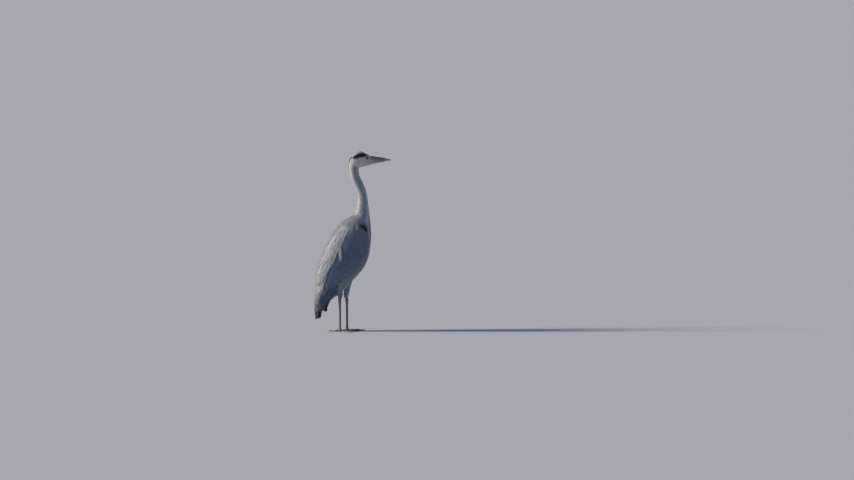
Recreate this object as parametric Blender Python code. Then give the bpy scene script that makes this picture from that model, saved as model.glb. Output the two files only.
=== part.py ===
"""A grey heron at life size, standing alert with its neck raised and its wings folded.

The bird faces +X, its left side is +Y, and the soles of its feet lie on the plane Z = 0, under the
middle of its box. The solids have the outer shape of the coat. One run of cross-sections, from the
wing tips up over the back and neck to the base of the bill, gives the whole body. It is parted by
thin cuts into trunk, neck and head, and the folded wings, shoulder plumes and breast plumes are
shells that follow the same surface. All sizes are in metres.
"""

from math import cos, pi, radians, sin, sqrt

import bmesh
import bpy
from mathutils import Matrix, Vector

GAP = 0.0004  # between pieces that touch
BED_PLAY = 0.0011  # under the shells, as their facets cut the corners of the trunk's

# The coat's outline, from the wing tips up to the feather line at the bill. Each row is a section:
# its point on the back (x, z), its point on the belly or throat (x, z), half of its width, and how
# much wider it is towards the back than towards the belly.
SECTIONS = (
    (-0.190, 0.095, -0.124, 0.094, 0.032, 0.00),  # 0 wing tips
    (-0.193, 0.158, -0.112, 0.150, 0.039, 0.00),
    (-0.191, 0.215, -0.058, 0.194, 0.049, 0.04),  # 2 vent
    (-0.188, 0.275, 0.008, 0.262, 0.062, 0.07),
    (-0.173, 0.345, 0.058, 0.322, 0.072, 0.08),  # 4 flank
    (-0.147, 0.414, 0.083, 0.385, 0.076, 0.08),
    (-0.106, 0.486, 0.090, 0.452, 0.073, 0.06),  # 6 wrist of the wing
    (-0.062, 0.541, 0.090, 0.508, 0.062, 0.03),
    (-0.020, 0.571, 0.088, 0.546, 0.047, 0.00),  # 8 shoulder
    (0.010, 0.590, 0.085, 0.578, 0.034, 0.00),
    (0.019, 0.618, 0.081, 0.615, 0.026, 0.00),  # 10 foot of the neck
    (0.0265, 0.655, 0.0755, 0.655, 0.0215, 0.00),
    (0.0240, 0.684, 0.0687, 0.696, 0.0205, 0.00),
    (0.0092, 0.722, 0.0518, 0.742, 0.0200, 0.00),
    (-0.0067, 0.760, 0.0357, 0.776, 0.0200, 0.00),
    (-0.0160, 0.798, 0.0305, 0.802, 0.0205, 0.00),
    (-0.0180, 0.822, 0.0320, 0.816, 0.0195, 0.00),  # 16 nape and throat
    (-0.0170, 0.848, 0.0360, 0.8205, 0.0190, -0.02),
    (-0.0070, 0.873, 0.0430, 0.8225, 0.0190, -0.04),
    (0.0120, 0.8930, 0.0520, 0.8245, 0.0190, -0.06),
    (0.0390, 0.9015, 0.0620, 0.8270, 0.0188, -0.08),  # 20 crown
    (0.0590, 0.8955, 0.0760, 0.8305, 0.0172, -0.10),  # 21 eye
    (0.0760, 0.8850, 0.0980, 0.8360, 0.0138, -0.08),
    (0.0910, 0.8795, 0.1230, 0.8425, 0.0105, 0.00),  # 23 feather line
)
WING_TIP, VENT, NECK_FOOT, FEATHER_LINE = 0.0, 1.7, 9.6, 23.0
NECK_CUTS = {"neck_lower": (NECK_FOOT, 11.5), "neck_middle": (11.5, 13.5), "neck_upper": (13.5, 16.4)}
HEAD_START = 16.4

# Edges on the coat, in degrees round it from the middle of the back, for sections 0 to 9. From the
# back to the belly they are the strip of mantle, the shoulder plumes, the wing and the flank.
MANTLE_EDGE = (6, 6, 6, 6, 6, 7, 9, 12, 16, 20)
WING_UPPER = (76, 64, 57, 60, 66, 72, 76, 78, 80, 82)
WING_LOWER = (168, 158, 140, 137, 142, 147, 149, 149, 149, 149)
BREAST_PLUMES_EDGE = (157, 157, 157, 157, 157, 160, 157, 155, 154, 152)
BED_DEPTH = (0.0060, 0.0062, 0.0066, 0.0074, 0.0090, 0.0110, 0.0130, 0.0125, 0.0080, 0.0050)
WRIST_START, WING_TOP = 6.5, 8.2  # the wing's front edge is rounded off between these sections
PLUMES_END, PLUMES_TOP = 5.9, 9.3  # of the breast plumes
PLUMES_BED = 0.0042

BILL_TIP = Vector((0.194, 0.0, 0.8585))
BILL_GAPE_Z = 0.8595  # height of the line between the mandibles at the feather line
BILL_BASE_X = (0.0915, 0.1235)  # culmen and chin ends of the feather line
CULMEN_RISE, CHIN_DROP = 0.0185, 0.0150  # of the bill's base above and below the gape line
CULMEN_CURVE, CHIN_CURVE = 0.70, 0.90  # how each thins towards the tip: 1 is a straight line
BILL_HALF_WIDTH = 0.0100

EYE_CENTRE = (0.0715, 0.0105, 0.8690)
EYE_RADIUS = 0.0082

LEG_SIDE = (0.034, 0.029)  # from the middle plane to each leg, at the foot and at the thigh
LEG_X = {"right": -0.0655, "left": -0.0310}  # the right foot is set a little behind the left one
TOE_OUT = 7.0  # degrees that each foot is turned outwards

COLOURS = {  # colour, roughness
    "crown_white": ((0.80, 0.80, 0.79), 0.85),
    "neck_grey": ((0.66, 0.66, 0.67), 0.85),
    "back_grey": ((0.33, 0.37, 0.42), 0.80),
    "plume_silver": ((0.52, 0.55, 0.59), 0.80),
    "flight_slate": ((0.06, 0.07, 0.09), 0.65),
    "belly_white": ((0.72, 0.73, 0.74), 0.88),
    "crest_black": ((0.012, 0.013, 0.018), 0.60),
    "bill_horn": ((0.72, 0.36, 0.12), 0.38),
    "eye_yellow": ((0.85, 0.62, 0.05), 0.05),
    "leg_skin": ((0.20, 0.15, 0.10), 0.60),
    "claw_horn": ((0.05, 0.04, 0.035), 0.40),
}


# ---------------------------------------------------------------- helpers

def clear_scene():
    for old in list(bpy.data.objects):
        bpy.data.objects.remove(old)


def material(name):
    """The Principled material of that name, made on first use."""
    found = bpy.data.materials.get(name)
    if found:
        return found
    colour, roughness = COLOURS[name]
    made = bpy.data.materials.new(name)
    made.use_nodes = True
    shader = made.node_tree.nodes["Principled BSDF"]
    shader.inputs["Base Color"].default_value = (*colour, 1.0)
    shader.inputs["Roughness"].default_value = roughness
    return made


def add_object(name, bm, colour):
    """Makes an object of bm, smooth where its facets meet at a shallow angle."""
    bmesh.ops.recalc_face_normals(bm, faces=bm.faces)
    bmesh.ops.triangulate(bm, faces=bm.faces, quad_method="FIXED")
    mesh = bpy.data.meshes.new(name)
    bm.to_mesh(mesh)
    bm.free()
    mesh.materials.append(material(colour))
    mesh.shade_smooth()
    mesh.set_sharp_from_angle(angle=radians(40))
    made = bpy.data.objects.new(name, mesh)
    bpy.context.scene.collection.objects.link(made)
    made.parent = bpy.data.objects["heron"]
    return made


def helper(obj):
    """Marks obj as a cutter, which is no part of the bird."""
    obj.hide_render = True
    obj.display_type = "WIRE"
    return obj


def combine(obj, other, operation):
    step = obj.modifiers.new(f"{operation.lower()}_{other.name}", "BOOLEAN")
    step.operation = operation
    step.object = other


def loft(name, rings, colour):
    """A closed solid through rings of points, each the same number round, with flat ends."""
    bm = bmesh.new()
    loops = [[bm.verts.new(p) for p in ring] for ring in rings]
    for low, high in zip(loops, loops[1:]):
        for k in range(len(low)):
            bm.faces.new((low[k - 1], low[k], high[k], high[k - 1]))
    bm.faces.new(loops[0])
    bm.faces.new(loops[-1])
    return add_object(name, bm, colour)


def smooth_row(rows, t):
    """The row at t, a number of rows from the first, on a Catmull-Rom curve through all of them."""
    last = len(rows) - 1
    i = min(int(t), last - 1)
    u = t - i
    a, b, c, d = (rows[min(max(i + k, 0), last)] for k in (-1, 0, 1, 2))
    return [
        0.5 * (2 * q + (r - p) * u + (2 * p - 5 * q + 4 * r - s) * u**2 + (3 * q - p - 3 * r + s) * u**3)
        for p, q, r, s in zip(a, b, c, d)
    ]


def steps_between(start, end, count):
    return [start + (end - start) * k / count for k in range(count + 1)]


def mix(a, b, share):
    return a + (b - a) * share


# ---------------------------------------------------------------- the coat's surface

def coat_point(t, angle):
    """The point of the coat at section t, at this angle round it from the middle of the back."""
    back_x, back_z, belly_x, belly_z, half_width, lean = smooth_row(SECTIONS, t)
    depth = cos(angle)
    middle = Vector(((back_x + belly_x) / 2, 0, (back_z + belly_z) / 2))
    to_back = Vector(((back_x - belly_x) / 2, 0, (back_z - belly_z) / 2))
    return middle + to_back * depth + Vector((0, half_width * sin(angle) * (1 + lean * depth), 0))


def coat_normal(t, angle):
    """The outward direction there."""
    small = 0.01
    low, high = max(t - small, 0), min(t + small, len(SECTIONS) - 1)
    along = coat_point(high, angle) - coat_point(low, angle)
    around = coat_point(t, angle + small) - coat_point(t, angle - small)
    return along.cross(around).normalized()


def coat_ring(t, count, grow=0.0):
    angles = [2 * pi * k / count for k in range(count)]
    return [coat_point(t, a) + coat_normal(t, a) * grow for a in angles]


def half_girth(t):
    back_x, back_z, belly_x, belly_z, half_width, _ = smooth_row(SECTIONS, t)
    return (half_width + sqrt((back_x - belly_x) ** 2 + (back_z - belly_z) ** 2) / 2) / 2


def section_point(t, share):
    """A point in the middle plane, on section t, at this share of the way from back to belly."""
    back_x, back_z, belly_x, belly_z, _, _ = smooth_row(SECTIONS, t)
    return Vector((mix(back_x, belly_x, share), 0, mix(back_z, belly_z, share)))


def coat_part(name, start, end, rings, count, colour):
    """A length of the body between two sections, short of each by half a gap."""
    rise = (section_point(end, 0.5) - section_point(start, 0.5)).length
    trim = GAP / 2 * (end - start) / rise
    levels = steps_between(start + trim, end - trim, rings)
    return loft(name, [coat_ring(t, count) for t in levels], colour)


# ---------------------------------------------------------------- shells of feathers

def table_at(table, t):
    i = min(max(int(t), 0), len(table) - 2)
    return mix(table[i], table[i + 1], min(max(t - i, 0), 1))


def wing_lower(t):
    """The wing's lower edge, which turns up to the shoulder round the wrist."""
    upper, lower = table_at(WING_UPPER, t), table_at(WING_LOWER, t)
    past = min(max((t - WRIST_START) / (WING_TOP - WRIST_START), 0), 1)
    return max(mix(upper, lower, sqrt(1 - past**2)), upper + 14)


def flight_border(share):
    """The section where the coverts end and the flight feathers show, slanting across the wing."""
    return mix(1.35, 3.3, share)


def scallop(share, count, depth):
    """Rounded feather tips along an edge: count of them, each depth sections long."""
    return depth * abs(sin(pi * count * share))


def shell(name, top, bottom, upper, lower, outer, inner, size, side, colour):
    """A shell on the coat. top and bottom give its ends, in sections, for a share of the way across it,
    and upper and lower give its edges, in degrees, for a section. outer and inner are the heights of its
    faces over the coat for a section. size is its number of steps along and across, and side is 1 on the
    left and -1 on the right."""
    along, across = size
    end_gap = GAP / 2 / (section_point(5, 0.5) - section_point(4, 0.5)).length
    outside, inside = [], []
    bm = bmesh.new()
    for i in range(along + 1):
        outside.append([])
        inside.append([])
        for j in range(across + 1):
            t = mix(bottom(j / across) + end_gap, top(j / across) - end_gap, i / along)
            edge_gap = GAP / half_girth(t)
            angle = side * mix(radians(upper(t)) + edge_gap, radians(lower(t)) - edge_gap, j / across)
            point, normal = coat_point(t, angle), coat_normal(t, angle)
            outside[-1].append(bm.verts.new(point + normal * outer(t)))
            inside[-1].append(bm.verts.new(point + normal * inner(t)))
    for i in range(along):
        for j in range(across):
            for grid in (outside, inside):
                bm.faces.new((grid[i][j], grid[i + 1][j], grid[i + 1][j + 1], grid[i][j + 1]))
    for j in range(across):
        for i in (0, along):
            bm.faces.new((outside[i][j], outside[i][j + 1], inside[i][j + 1], inside[i][j]))
    for i in range(along):
        for j in (0, across):
            bm.faces.new((outside[i][j], outside[i + 1][j], inside[i + 1][j], inside[i][j]))
    return add_object(name, bm, colour)


def bed_floor(t):
    """The height over the coat of the inner faces of the shells that lie in the trunk's beds."""
    return BED_PLAY - table_at(BED_DEPTH, t)


def wing(side, word):
    """The arm of the folded wing with its coverts, thickest at the wrist."""
    shell(
        f"wing_{word}",
        top=lambda share: WING_TOP,
        bottom=lambda share: flight_border(share) + 0.012,
        upper=lambda t: table_at(WING_UPPER, t),
        lower=lambda t: wing_lower(t) - 0.7,
        outer=lambda t: 0.0,
        inner=bed_floor,
        size=(13, 6),
        side=side,
        colour="back_grey",
    )


def flight_feathers(side, word):
    """Secondaries and primaries below the coverts, with the tips of the longest ones free."""
    shell(
        f"flight_feathers_{word}",
        top=flight_border,
        bottom=lambda share: 0.24 - 0.20 * share**0.7 + scallop(share, 4, 0.10),
        upper=lambda t: table_at(WING_UPPER, t),
        lower=lambda t: wing_lower(t) - 0.7,
        outer=lambda t: -0.0012,
        inner=bed_floor,
        size=(7, 12),
        side=side,
        colour="flight_slate",
    )


def shoulder_plumes(side, word):
    """Long scapular plumes over the upper edge of the wing, ending in points above the tail."""
    shell(
        f"shoulder_plumes_{word}",
        top=lambda share: WING_TOP,
        bottom=lambda share: mix(1.75, 2.1, share) + scallop(share, 3, 0.14),
        upper=lambda t: table_at(MANTLE_EDGE, t),
        lower=lambda t: table_at(WING_UPPER, t),
        outer=lambda t: 0.0008,
        inner=bed_floor,
        size=(14, 6),
        side=side,
        colour="plume_silver",
    )


def breast_plumes():
    """Long plumes that hang from the foot of the neck over the breast."""
    shell(
        "breast_plumes",
        top=lambda share: PLUMES_TOP,
        bottom=lambda share: PLUMES_END + scallop(share, 3, 0.16),
        upper=lambda t: table_at(BREAST_PLUMES_EDGE, t),
        lower=lambda t: 360 - table_at(BREAST_PLUMES_EDGE, t),
        outer=lambda t: mix(0.0030, 0.0, min(max((t - 6) / 2.5, 0), 1)),
        inner=lambda t: BED_PLAY - PLUMES_BED,
        size=(10, 6),
        side=1,
        colour="belly_white",
    )


def tail():
    """The closed tail and its coverts between the wings, arched from side to side, with its tip free."""
    drop = Vector((0, 0, GAP))
    start_back, start_vent = section_point(VENT, 0.03) - drop, section_point(VENT, 0.90) - drop
    rows = (  # back x, z; vent x, z; half width
        (start_back.x, start_back.z, start_vent.x, start_vent.z, 0.0350),
        (-0.1915, 0.176, -0.1060, 0.160, 0.0300),
        (-0.1925, 0.145, -0.1320, 0.137, 0.0260),
        (-0.1920, 0.112, -0.1500, 0.110, 0.0245),
        (-0.1900, 0.082, -0.1560, 0.080, 0.0240),
        (-0.1885, 0.067, -0.1570, 0.065, 0.0215),
        (-0.1850, 0.062, -0.1610, 0.061, 0.0160),
    )
    count, rings = 16, []
    for t in steps_between(0, len(rows) - 1, 9):
        back_x, back_z, vent_x, vent_z, half_width = smooth_row(rows, t)
        ring = []
        for k in range(count):
            a = 2 * pi * k / count
            depth = cos(a) if cos(a) > 0 else cos(a) * (1 - 0.55 * (1 - abs(sin(a))))
            share = (1 - depth) / 2
            ring.append((mix(back_x, vent_x, share), half_width * sin(a), mix(back_z, vent_z, share)))
        rings.append(ring)
    return loft("tail", rings, "back_grey")


# ---------------------------------------------------------------- trunk, neck and head

def trunk_ring(t, bed_share, plumes_bed, grow=0.0):
    """Half a ring of the trunk, mirrored: it steps down into the beds of the wing and the plumes. The
    shares say how deep each bed is here, from 0 for none to 1."""
    step = GAP / half_girth(t)
    mantle, upper, breast = (radians(table_at(e, t)) for e in (MANTLE_EDGE, WING_UPPER, BREAST_PLUMES_EDGE))
    lower = radians(wing_lower(t))
    bed = table_at(BED_DEPTH, t) * bed_share
    half = [(0, 0), (mantle - step, 0)]
    half += [(mix(mantle, upper, k / 3), bed) for k in range(3)]
    half += [(mix(upper, lower, k / 6), bed) for k in range(7)]
    half += [(lower + step, 0), (breast - step, 0)]
    half += [(mix(breast, pi, k / 2), PLUMES_BED * plumes_bed) for k in range(3)]
    ring = half + [(-angle, depth) for angle, depth in half[-2:0:-1]]
    return [coat_point(t, a) + coat_normal(t, a) * (grow - depth) for a, depth in ring]


def trunk():
    """The trunk, with beds for the wings and plumes that lie on it."""
    edge = 0.012
    levels = [(t, 1, 0) for t in steps_between(VENT + 0.005, PLUMES_END - edge, 10)]
    levels += [(t, 1, 1) for t in steps_between(PLUMES_END, WING_TOP, 6)]
    levels += [(t, 0, 1) for t in steps_between(WING_TOP + edge, PLUMES_TOP, 3)]
    levels += [(t, 0, 0) for t in (PLUMES_TOP + edge, NECK_FOOT - 0.005)]
    return loft("trunk", [trunk_ring(*level) for level in levels], "belly_white")


def neck():
    for name, (start, end) in NECK_CUTS.items():
        coat_part(name, start, end, 6, 18, "neck_grey")


def eyes():
    """Two eyeballs, and the sockets that they sit in."""
    x, y, z = EYE_CENTRE
    head = coat_part("head", HEAD_START, FEATHER_LINE, 13, 20, "crown_white")
    for side, word in ((1, "left"), (-1, "right")):
        for name, radius in ((f"eye_{word}", EYE_RADIUS), (f"socket_{word}", EYE_RADIUS + GAP)):
            bm = bmesh.new()
            bmesh.ops.create_uvsphere(bm, u_segments=14, v_segments=8, radius=radius)
            bmesh.ops.rotate(bm, matrix=Matrix.Rotation(pi / 2, 3, "X"), verts=bm.verts)
            ball = add_object(name, bm, "eye_yellow")
            ball.location = (x, side * y, z)
        combine(head, helper(ball), "DIFFERENCE")


def bill():
    """Both mandibles: rounded ridges with flat cutting edges that meet along the gape."""
    count = 9
    gape_x = mix(*BILL_BASE_X, CULMEN_RISE / (CULMEN_RISE + CHIN_DROP))
    for name, way, rise, base_x, curve in (
        ("bill_upper", 1, CULMEN_RISE, BILL_BASE_X[0], CULMEN_CURVE),
        ("bill_lower", -1, CHIN_DROP, BILL_BASE_X[1], CHIN_CURVE),
    ):
        rings = []
        for share in (0, 0.14, 0.28, 0.42, 0.56, 0.70, 0.82, 0.92, 0.985):
            edge_x, ridge_x = (mix(x + GAP * 1.3, BILL_TIP.x, share) for x in (gape_x, base_x))
            edge_z = mix(BILL_GAPE_Z, BILL_TIP.z, share) + way * GAP / 2
            height = rise * (1 - share) ** curve + 0.0006
            width = BILL_HALF_WIDTH * (1 - share) ** 0.9 + 0.0005
            ring = []
            for k in range(count + 1):
                a = pi * k / count
                ring.append((mix(edge_x, ridge_x, sin(a)), width * cos(a), edge_z + way * height * sin(a)))
            rings.append(ring)
        loft(name, rings, "bill_horn")


def crest():
    """The two black plumes of the nape, lying close to it."""
    rows = (  # section, degrees from the middle of the nape, half width, half thickness
        (18.6, 34, 0.0014, 0.0008),
        (18.0, 27, 0.0024, 0.0010),
        (17.3, 20, 0.0024, 0.0009),
        (16.6, 15, 0.0020, 0.0008),
        (15.9, 12, 0.0014, 0.0006),
        (15.3, 10, 0.0006, 0.0005),
    )
    for side, word in ((1, "left"), (-1, "right")):
        rings = []
        for t in steps_between(0, len(rows) - 1, 8):
            section, degrees, half_width, half_thickness = smooth_row(rows, t)
            a = side * radians(degrees)
            out = coat_normal(section, a)
            centre = coat_point(section, a) + out * (half_thickness + GAP)
            across = out.cross(coat_point(section - 0.05, a) - coat_point(section, a)).normalized()
            rings.append([
                centre + across * half_width * cos(2 * pi * k / 6) + out * half_thickness * sin(2 * pi * k / 6)
                for k in range(6)
            ])
        loft(f"crest_{word}", rings, "crest_black")


# ---------------------------------------------------------------- legs and feet

THIGH = (  # x from the leg's line, height, half depth, half width
    (0.006, 0.285, 0.0360, 0.0260),
    (0.004, 0.255, 0.0275, 0.0220),
    (0.002, 0.225, 0.0190, 0.0165),
    (0.001, 0.200, 0.0130, 0.0118),
    (0.000, 0.176, 0.0090, 0.0084),
)
TIBIA = (
    (0.0000, 0.1756, 0.0054, 0.0050),
    (0.0004, 0.1680, 0.0054, 0.0049),
    (0.0008, 0.1620, 0.0064, 0.0059),
)
TARSUS = (
    (0.0008, 0.1616, 0.0066, 0.0061),
    (0.0008, 0.1550, 0.0078, 0.0073),
    (0.0010, 0.1460, 0.0074, 0.0069),
    (0.0014, 0.1330, 0.0055, 0.0047),
    (0.0020, 0.1000, 0.0052, 0.0040),
    (0.0022, 0.0600, 0.0050, 0.0039),
    (0.0022, 0.0300, 0.0052, 0.0045),
    (0.0022, 0.0130, 0.0064, 0.0066),
)
# name: degrees from straight ahead, inwards positive; lengths of the phalanges; radius at the root; claw length
TOES = {
    "middle": (0.0, (0.032, 0.026, 0.022), 0.0040, 0.014),
    "inner": (30.0, (0.034, 0.027), 0.0038, 0.013),
    "outer": (-31.0, (0.028, 0.018, 0.013, 0.011), 0.0036, 0.012),
    "hind": (176.0, (0.042,), 0.0038, 0.021),
}
PAD_TOP, ROOT_LENGTH = 0.0126, 0.0165  # the pad's height, and how far the toes' roots belong to it


def leg_y(z):
    """The distance of the leg's line from the middle plane at this height."""
    return mix(*LEG_SIDE, min(z / 0.2, 1))


def limb(name, rows, side, word, rings, count, colour):
    """A stretch of leg: level elliptical sections along the leg's line."""
    made = []
    for t in steps_between(0, len(rows) - 1, rings):
        x, z, half_depth, half_width = smooth_row(rows, t)
        centre = Vector((LEG_X[word] + x, side * leg_y(z), z))
        turns = [2 * pi * k / count for k in range(count)]
        made.append([centre + Vector((half_depth * cos(a), half_width * sin(a), 0)) for a in turns])
    return loft(f"{name}_{word}", made, colour)


def toe_radius(along, joints, root, length):
    """A toe thins towards its claw and swells at each joint."""
    swelling = sum(0.0006 * max(0.0, 1 - abs(along - joint) / 0.006) for joint in joints)
    return mix(root, root * 0.72, along / length) + swelling


def toe_piece(name, start, end, heading, origin, joints, root, length, colour):
    """The stretch of a toe from start to end along it."""
    forward = Vector((cos(heading), sin(heading), 0))
    across = Vector((-sin(heading), cos(heading), 0))
    marks = sorted({start, end, *(j + d for j in joints for d in (-0.006, 0, 0.006) if start < j + d < end)})
    marks = [marks[0]] + [m for m, before in zip(marks[1:], marks) if m - before > 0.002]
    rings = []
    for along in marks:
        radius = toe_radius(along, joints, root, length)
        rings.append([
            origin + forward * along + across * radius * cos(2 * pi * (k + 0.5) / 6)
            + Vector((0, 0, radius * (0.80 + sin(2 * pi * (k + 0.5) / 6))))
            for k in range(6)
        ])
    return loft(name, rings, colour)


def claw(name, heading, root, reach, radius, colour):
    """A claw that curves down to just above the ground."""
    forward = Vector((cos(heading), sin(heading), 0))
    across = Vector((-sin(heading), cos(heading), 0))
    rings = []
    for share in steps_between(0, 1, 4):
        bend = radians(mix(4, 50, share))
        centre = root + forward * reach * share + Vector((0, 0, 0.0012 * sin(pi * share) - root.z * 0.62 * share**2))
        up = Vector((0, 0, cos(bend))) + forward * sin(bend)
        size = radius * (1 - 0.86 * share)
        rings.append([
            centre + across * size * 0.8 * cos(2 * pi * k / 6) + up * size * sin(2 * pi * k / 6) for k in range(6)
        ])
    return loft(name, rings, colour)


def ground():
    """A block under the ground, which cuts the soles flat."""
    bm = bmesh.new()
    bmesh.ops.create_cube(bm, size=1.0)
    block = helper(add_object("ground_cutter", bm, "leg_skin"))
    block.location = (0, 0, -0.5)
    return block


def foot(side, word, floor):
    origin = Vector((LEG_X[word] + TARSUS[-1][0], side * leg_y(0.01), 0))
    pad = loft(
        f"foot_pad_{word}",
        [
            [
                origin + Vector((r * cos(2 * pi * k / 10), r * sin(2 * pi * k / 10), z))
                for k in range(10)
            ]
            for z, r in ((-0.001, 0.0068), (0.004, 0.0078), (0.009, 0.0074), (PAD_TOP, 0.0064))
        ],
        "leg_skin",
    )
    for toe, (degrees, phalanges, root, claw_length) in TOES.items():
        heading = radians(-side * degrees + side * TOE_OUT)
        length = sum(phalanges)
        joints = [sum(phalanges[: k + 1]) for k in range(len(phalanges) - 1)] + [length - 0.001]
        shape = (heading, origin, joints, root, length, "leg_skin")
        stub = helper(toe_piece(f"root_{toe}_{word}", 0.001, ROOT_LENGTH, *shape))
        combine(pad, stub, "UNION")
        rest = toe_piece(f"toe_{toe}_{word}", ROOT_LENGTH + GAP, length, *shape)
        combine(rest, floor, "DIFFERENCE")
        radius = toe_radius(length, joints, root, length)
        forward = Vector((cos(heading), sin(heading), 0))
        start = origin + forward * (length + GAP) + Vector((0, 0, radius * 0.95))
        claw(f"claw_{toe}_{word}", heading, start, claw_length, radius * 0.78, "claw_horn")
    combine(pad, floor, "DIFFERENCE")


def legs():
    """Feathered thighs cut to the belly, bare shins, and feet with flat soles."""
    levels = steps_between(0.5, 6, 17)
    belly = helper(loft("belly_cutter", [trunk_ring(t, 0, 0, GAP) for t in levels], "belly_white"))
    floor = ground()
    for side, word in ((1, "left"), (-1, "right")):
        thigh = limb("thigh", THIGH, side, word, 7, 14, "belly_white")
        combine(thigh, belly, "DIFFERENCE")
        limb("tibia", TIBIA, side, word, 3, 10, "leg_skin")
        limb("tarsus", TARSUS, side, word, 8, 10, "leg_skin")
        foot(side, word, floor)


# ---------------------------------------------------------------- the whole bird

def centre_over_origin():
    """Moves the bird so that the middle of its box stands over the origin."""
    bpy.context.view_layer.update()
    graph = bpy.context.evaluated_depsgraph_get()
    shown = [o for o in bpy.data.objects if o.type == "MESH" and not o.hide_render]
    corners = [o.matrix_world @ Vector(c) for o in shown for c in o.evaluated_get(graph).bound_box]
    for axis in (0, 1):
        low, high = (pick(c[axis] for c in corners) for pick in (min, max))
        bpy.data.objects["heron"].location[axis] = -(low + high) / 2


def main():
    clear_scene()
    bpy.context.scene.collection.objects.link(bpy.data.objects.new("heron", None))
    trunk()
    neck()
    eyes()
    bill()
    crest()
    breast_plumes()
    for side, word in ((1, "left"), (-1, "right")):
        wing(side, word)
        flight_feathers(side, word)
        shoulder_plumes(side, word)
    tail()
    legs()
    centre_over_origin()


main()
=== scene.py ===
"""A life-size grey heron, dressed: skin, feathers in their tracts, eyes, bill, scaly legs and claws.

Every feather is a thin closed vane that follows the coat's surface from its root towards the tail.
The coat's surface is the same run of sections that the solids were made from.
"""

from collections import namedtuple
from contextlib import contextmanager
from math import cos, pi, radians, sin

import bpy
import numpy as np
from bpy.props import FloatProperty, FloatVectorProperty, IntProperty, PointerProperty
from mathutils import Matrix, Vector, kdtree


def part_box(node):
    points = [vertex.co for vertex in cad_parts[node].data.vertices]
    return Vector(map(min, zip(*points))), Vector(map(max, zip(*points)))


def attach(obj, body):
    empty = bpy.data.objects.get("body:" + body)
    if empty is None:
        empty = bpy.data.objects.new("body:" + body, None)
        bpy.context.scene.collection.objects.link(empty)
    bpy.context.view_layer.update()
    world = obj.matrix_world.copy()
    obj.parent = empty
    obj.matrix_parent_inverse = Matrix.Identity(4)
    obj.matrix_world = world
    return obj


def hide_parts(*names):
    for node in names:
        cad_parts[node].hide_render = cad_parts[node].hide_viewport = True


bl_info = {
    "name": "Grey Heron",
    "version": (1, 0, 0),
    "blender": (4, 5, 0),
    "location": "3D View > Sidebar > Heron",
    "description": "Dresses the solids of a life-size grey heron with skin, feathers, horn and scales",
    "category": "Object",
}

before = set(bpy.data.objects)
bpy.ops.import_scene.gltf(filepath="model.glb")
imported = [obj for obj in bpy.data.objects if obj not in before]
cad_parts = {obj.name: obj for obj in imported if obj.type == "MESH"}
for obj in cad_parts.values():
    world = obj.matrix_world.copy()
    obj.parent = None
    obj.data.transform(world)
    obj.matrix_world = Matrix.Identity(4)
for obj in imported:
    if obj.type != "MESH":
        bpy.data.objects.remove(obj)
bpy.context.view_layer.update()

SIDES = ((1, "left"), (-1, "right"))

# The coat's outline, from the wing tips up to the feather line at the bill. Each row is a section: its
# point on the back (x, z), on the belly or throat (x, z), half of its width, and how much wider it is
# towards the back than towards the belly.
SECTIONS = (
    (-0.190, 0.095, -0.124, 0.094, 0.032, 0.00),  # 0 wing tips
    (-0.193, 0.158, -0.112, 0.150, 0.039, 0.00),
    (-0.191, 0.215, -0.058, 0.194, 0.049, 0.04),  # 2 vent
    (-0.188, 0.275, 0.008, 0.262, 0.062, 0.07),
    (-0.173, 0.345, 0.058, 0.322, 0.072, 0.08),  # 4 flank
    (-0.147, 0.414, 0.083, 0.385, 0.076, 0.08),
    (-0.106, 0.486, 0.090, 0.452, 0.073, 0.06),  # 6 wrist of the wing
    (-0.062, 0.541, 0.090, 0.508, 0.062, 0.03),
    (-0.020, 0.571, 0.088, 0.546, 0.047, 0.00),  # 8 shoulder
    (0.010, 0.590, 0.085, 0.578, 0.034, 0.00),
    (0.019, 0.618, 0.081, 0.615, 0.026, 0.00),  # 10 foot of the neck
    (0.0265, 0.655, 0.0755, 0.655, 0.0215, 0.00),
    (0.0240, 0.684, 0.0687, 0.696, 0.0205, 0.00),
    (0.0092, 0.722, 0.0518, 0.742, 0.0200, 0.00),
    (-0.0067, 0.760, 0.0357, 0.776, 0.0200, 0.00),
    (-0.0160, 0.798, 0.0305, 0.802, 0.0205, 0.00),
    (-0.0180, 0.822, 0.0320, 0.816, 0.0195, 0.00),  # 16 nape and throat
    (-0.0170, 0.848, 0.0360, 0.8205, 0.0190, -0.02),
    (-0.0070, 0.873, 0.0430, 0.8225, 0.0190, -0.04),
    (0.0120, 0.8930, 0.0520, 0.8245, 0.0190, -0.06),
    (0.0390, 0.9015, 0.0620, 0.8270, 0.0188, -0.08),  # 20 crown
    (0.0590, 0.8955, 0.0760, 0.8305, 0.0172, -0.10),  # 21 eye
    (0.0760, 0.8850, 0.0980, 0.8360, 0.0138, -0.08),
    (0.0910, 0.8795, 0.1230, 0.8425, 0.0105, 0.00),  # 23 feather line
)
FEATHER_LINE = len(SECTIONS) - 1

# Edges of the mantle and of the folded wing, in degrees round from the back, for sections 0 to 9.
MANTLE_EDGE = (6, 6, 6, 6, 6, 7, 9, 12, 16, 20)
WING_UPPER = (76, 64, 57, 60, 66, 72, 76, 78, 80, 82)
WING_LOWER = (168, 158, 140, 137, 142, 147, 149, 149, 149, 149)
WRIST_START, WING_TOP = 6.5, 8.2  # the sections between which the wing's lower edge turns up to the shoulder
WING_LEAST = 14  # degrees across the wing where it is narrowest

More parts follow.
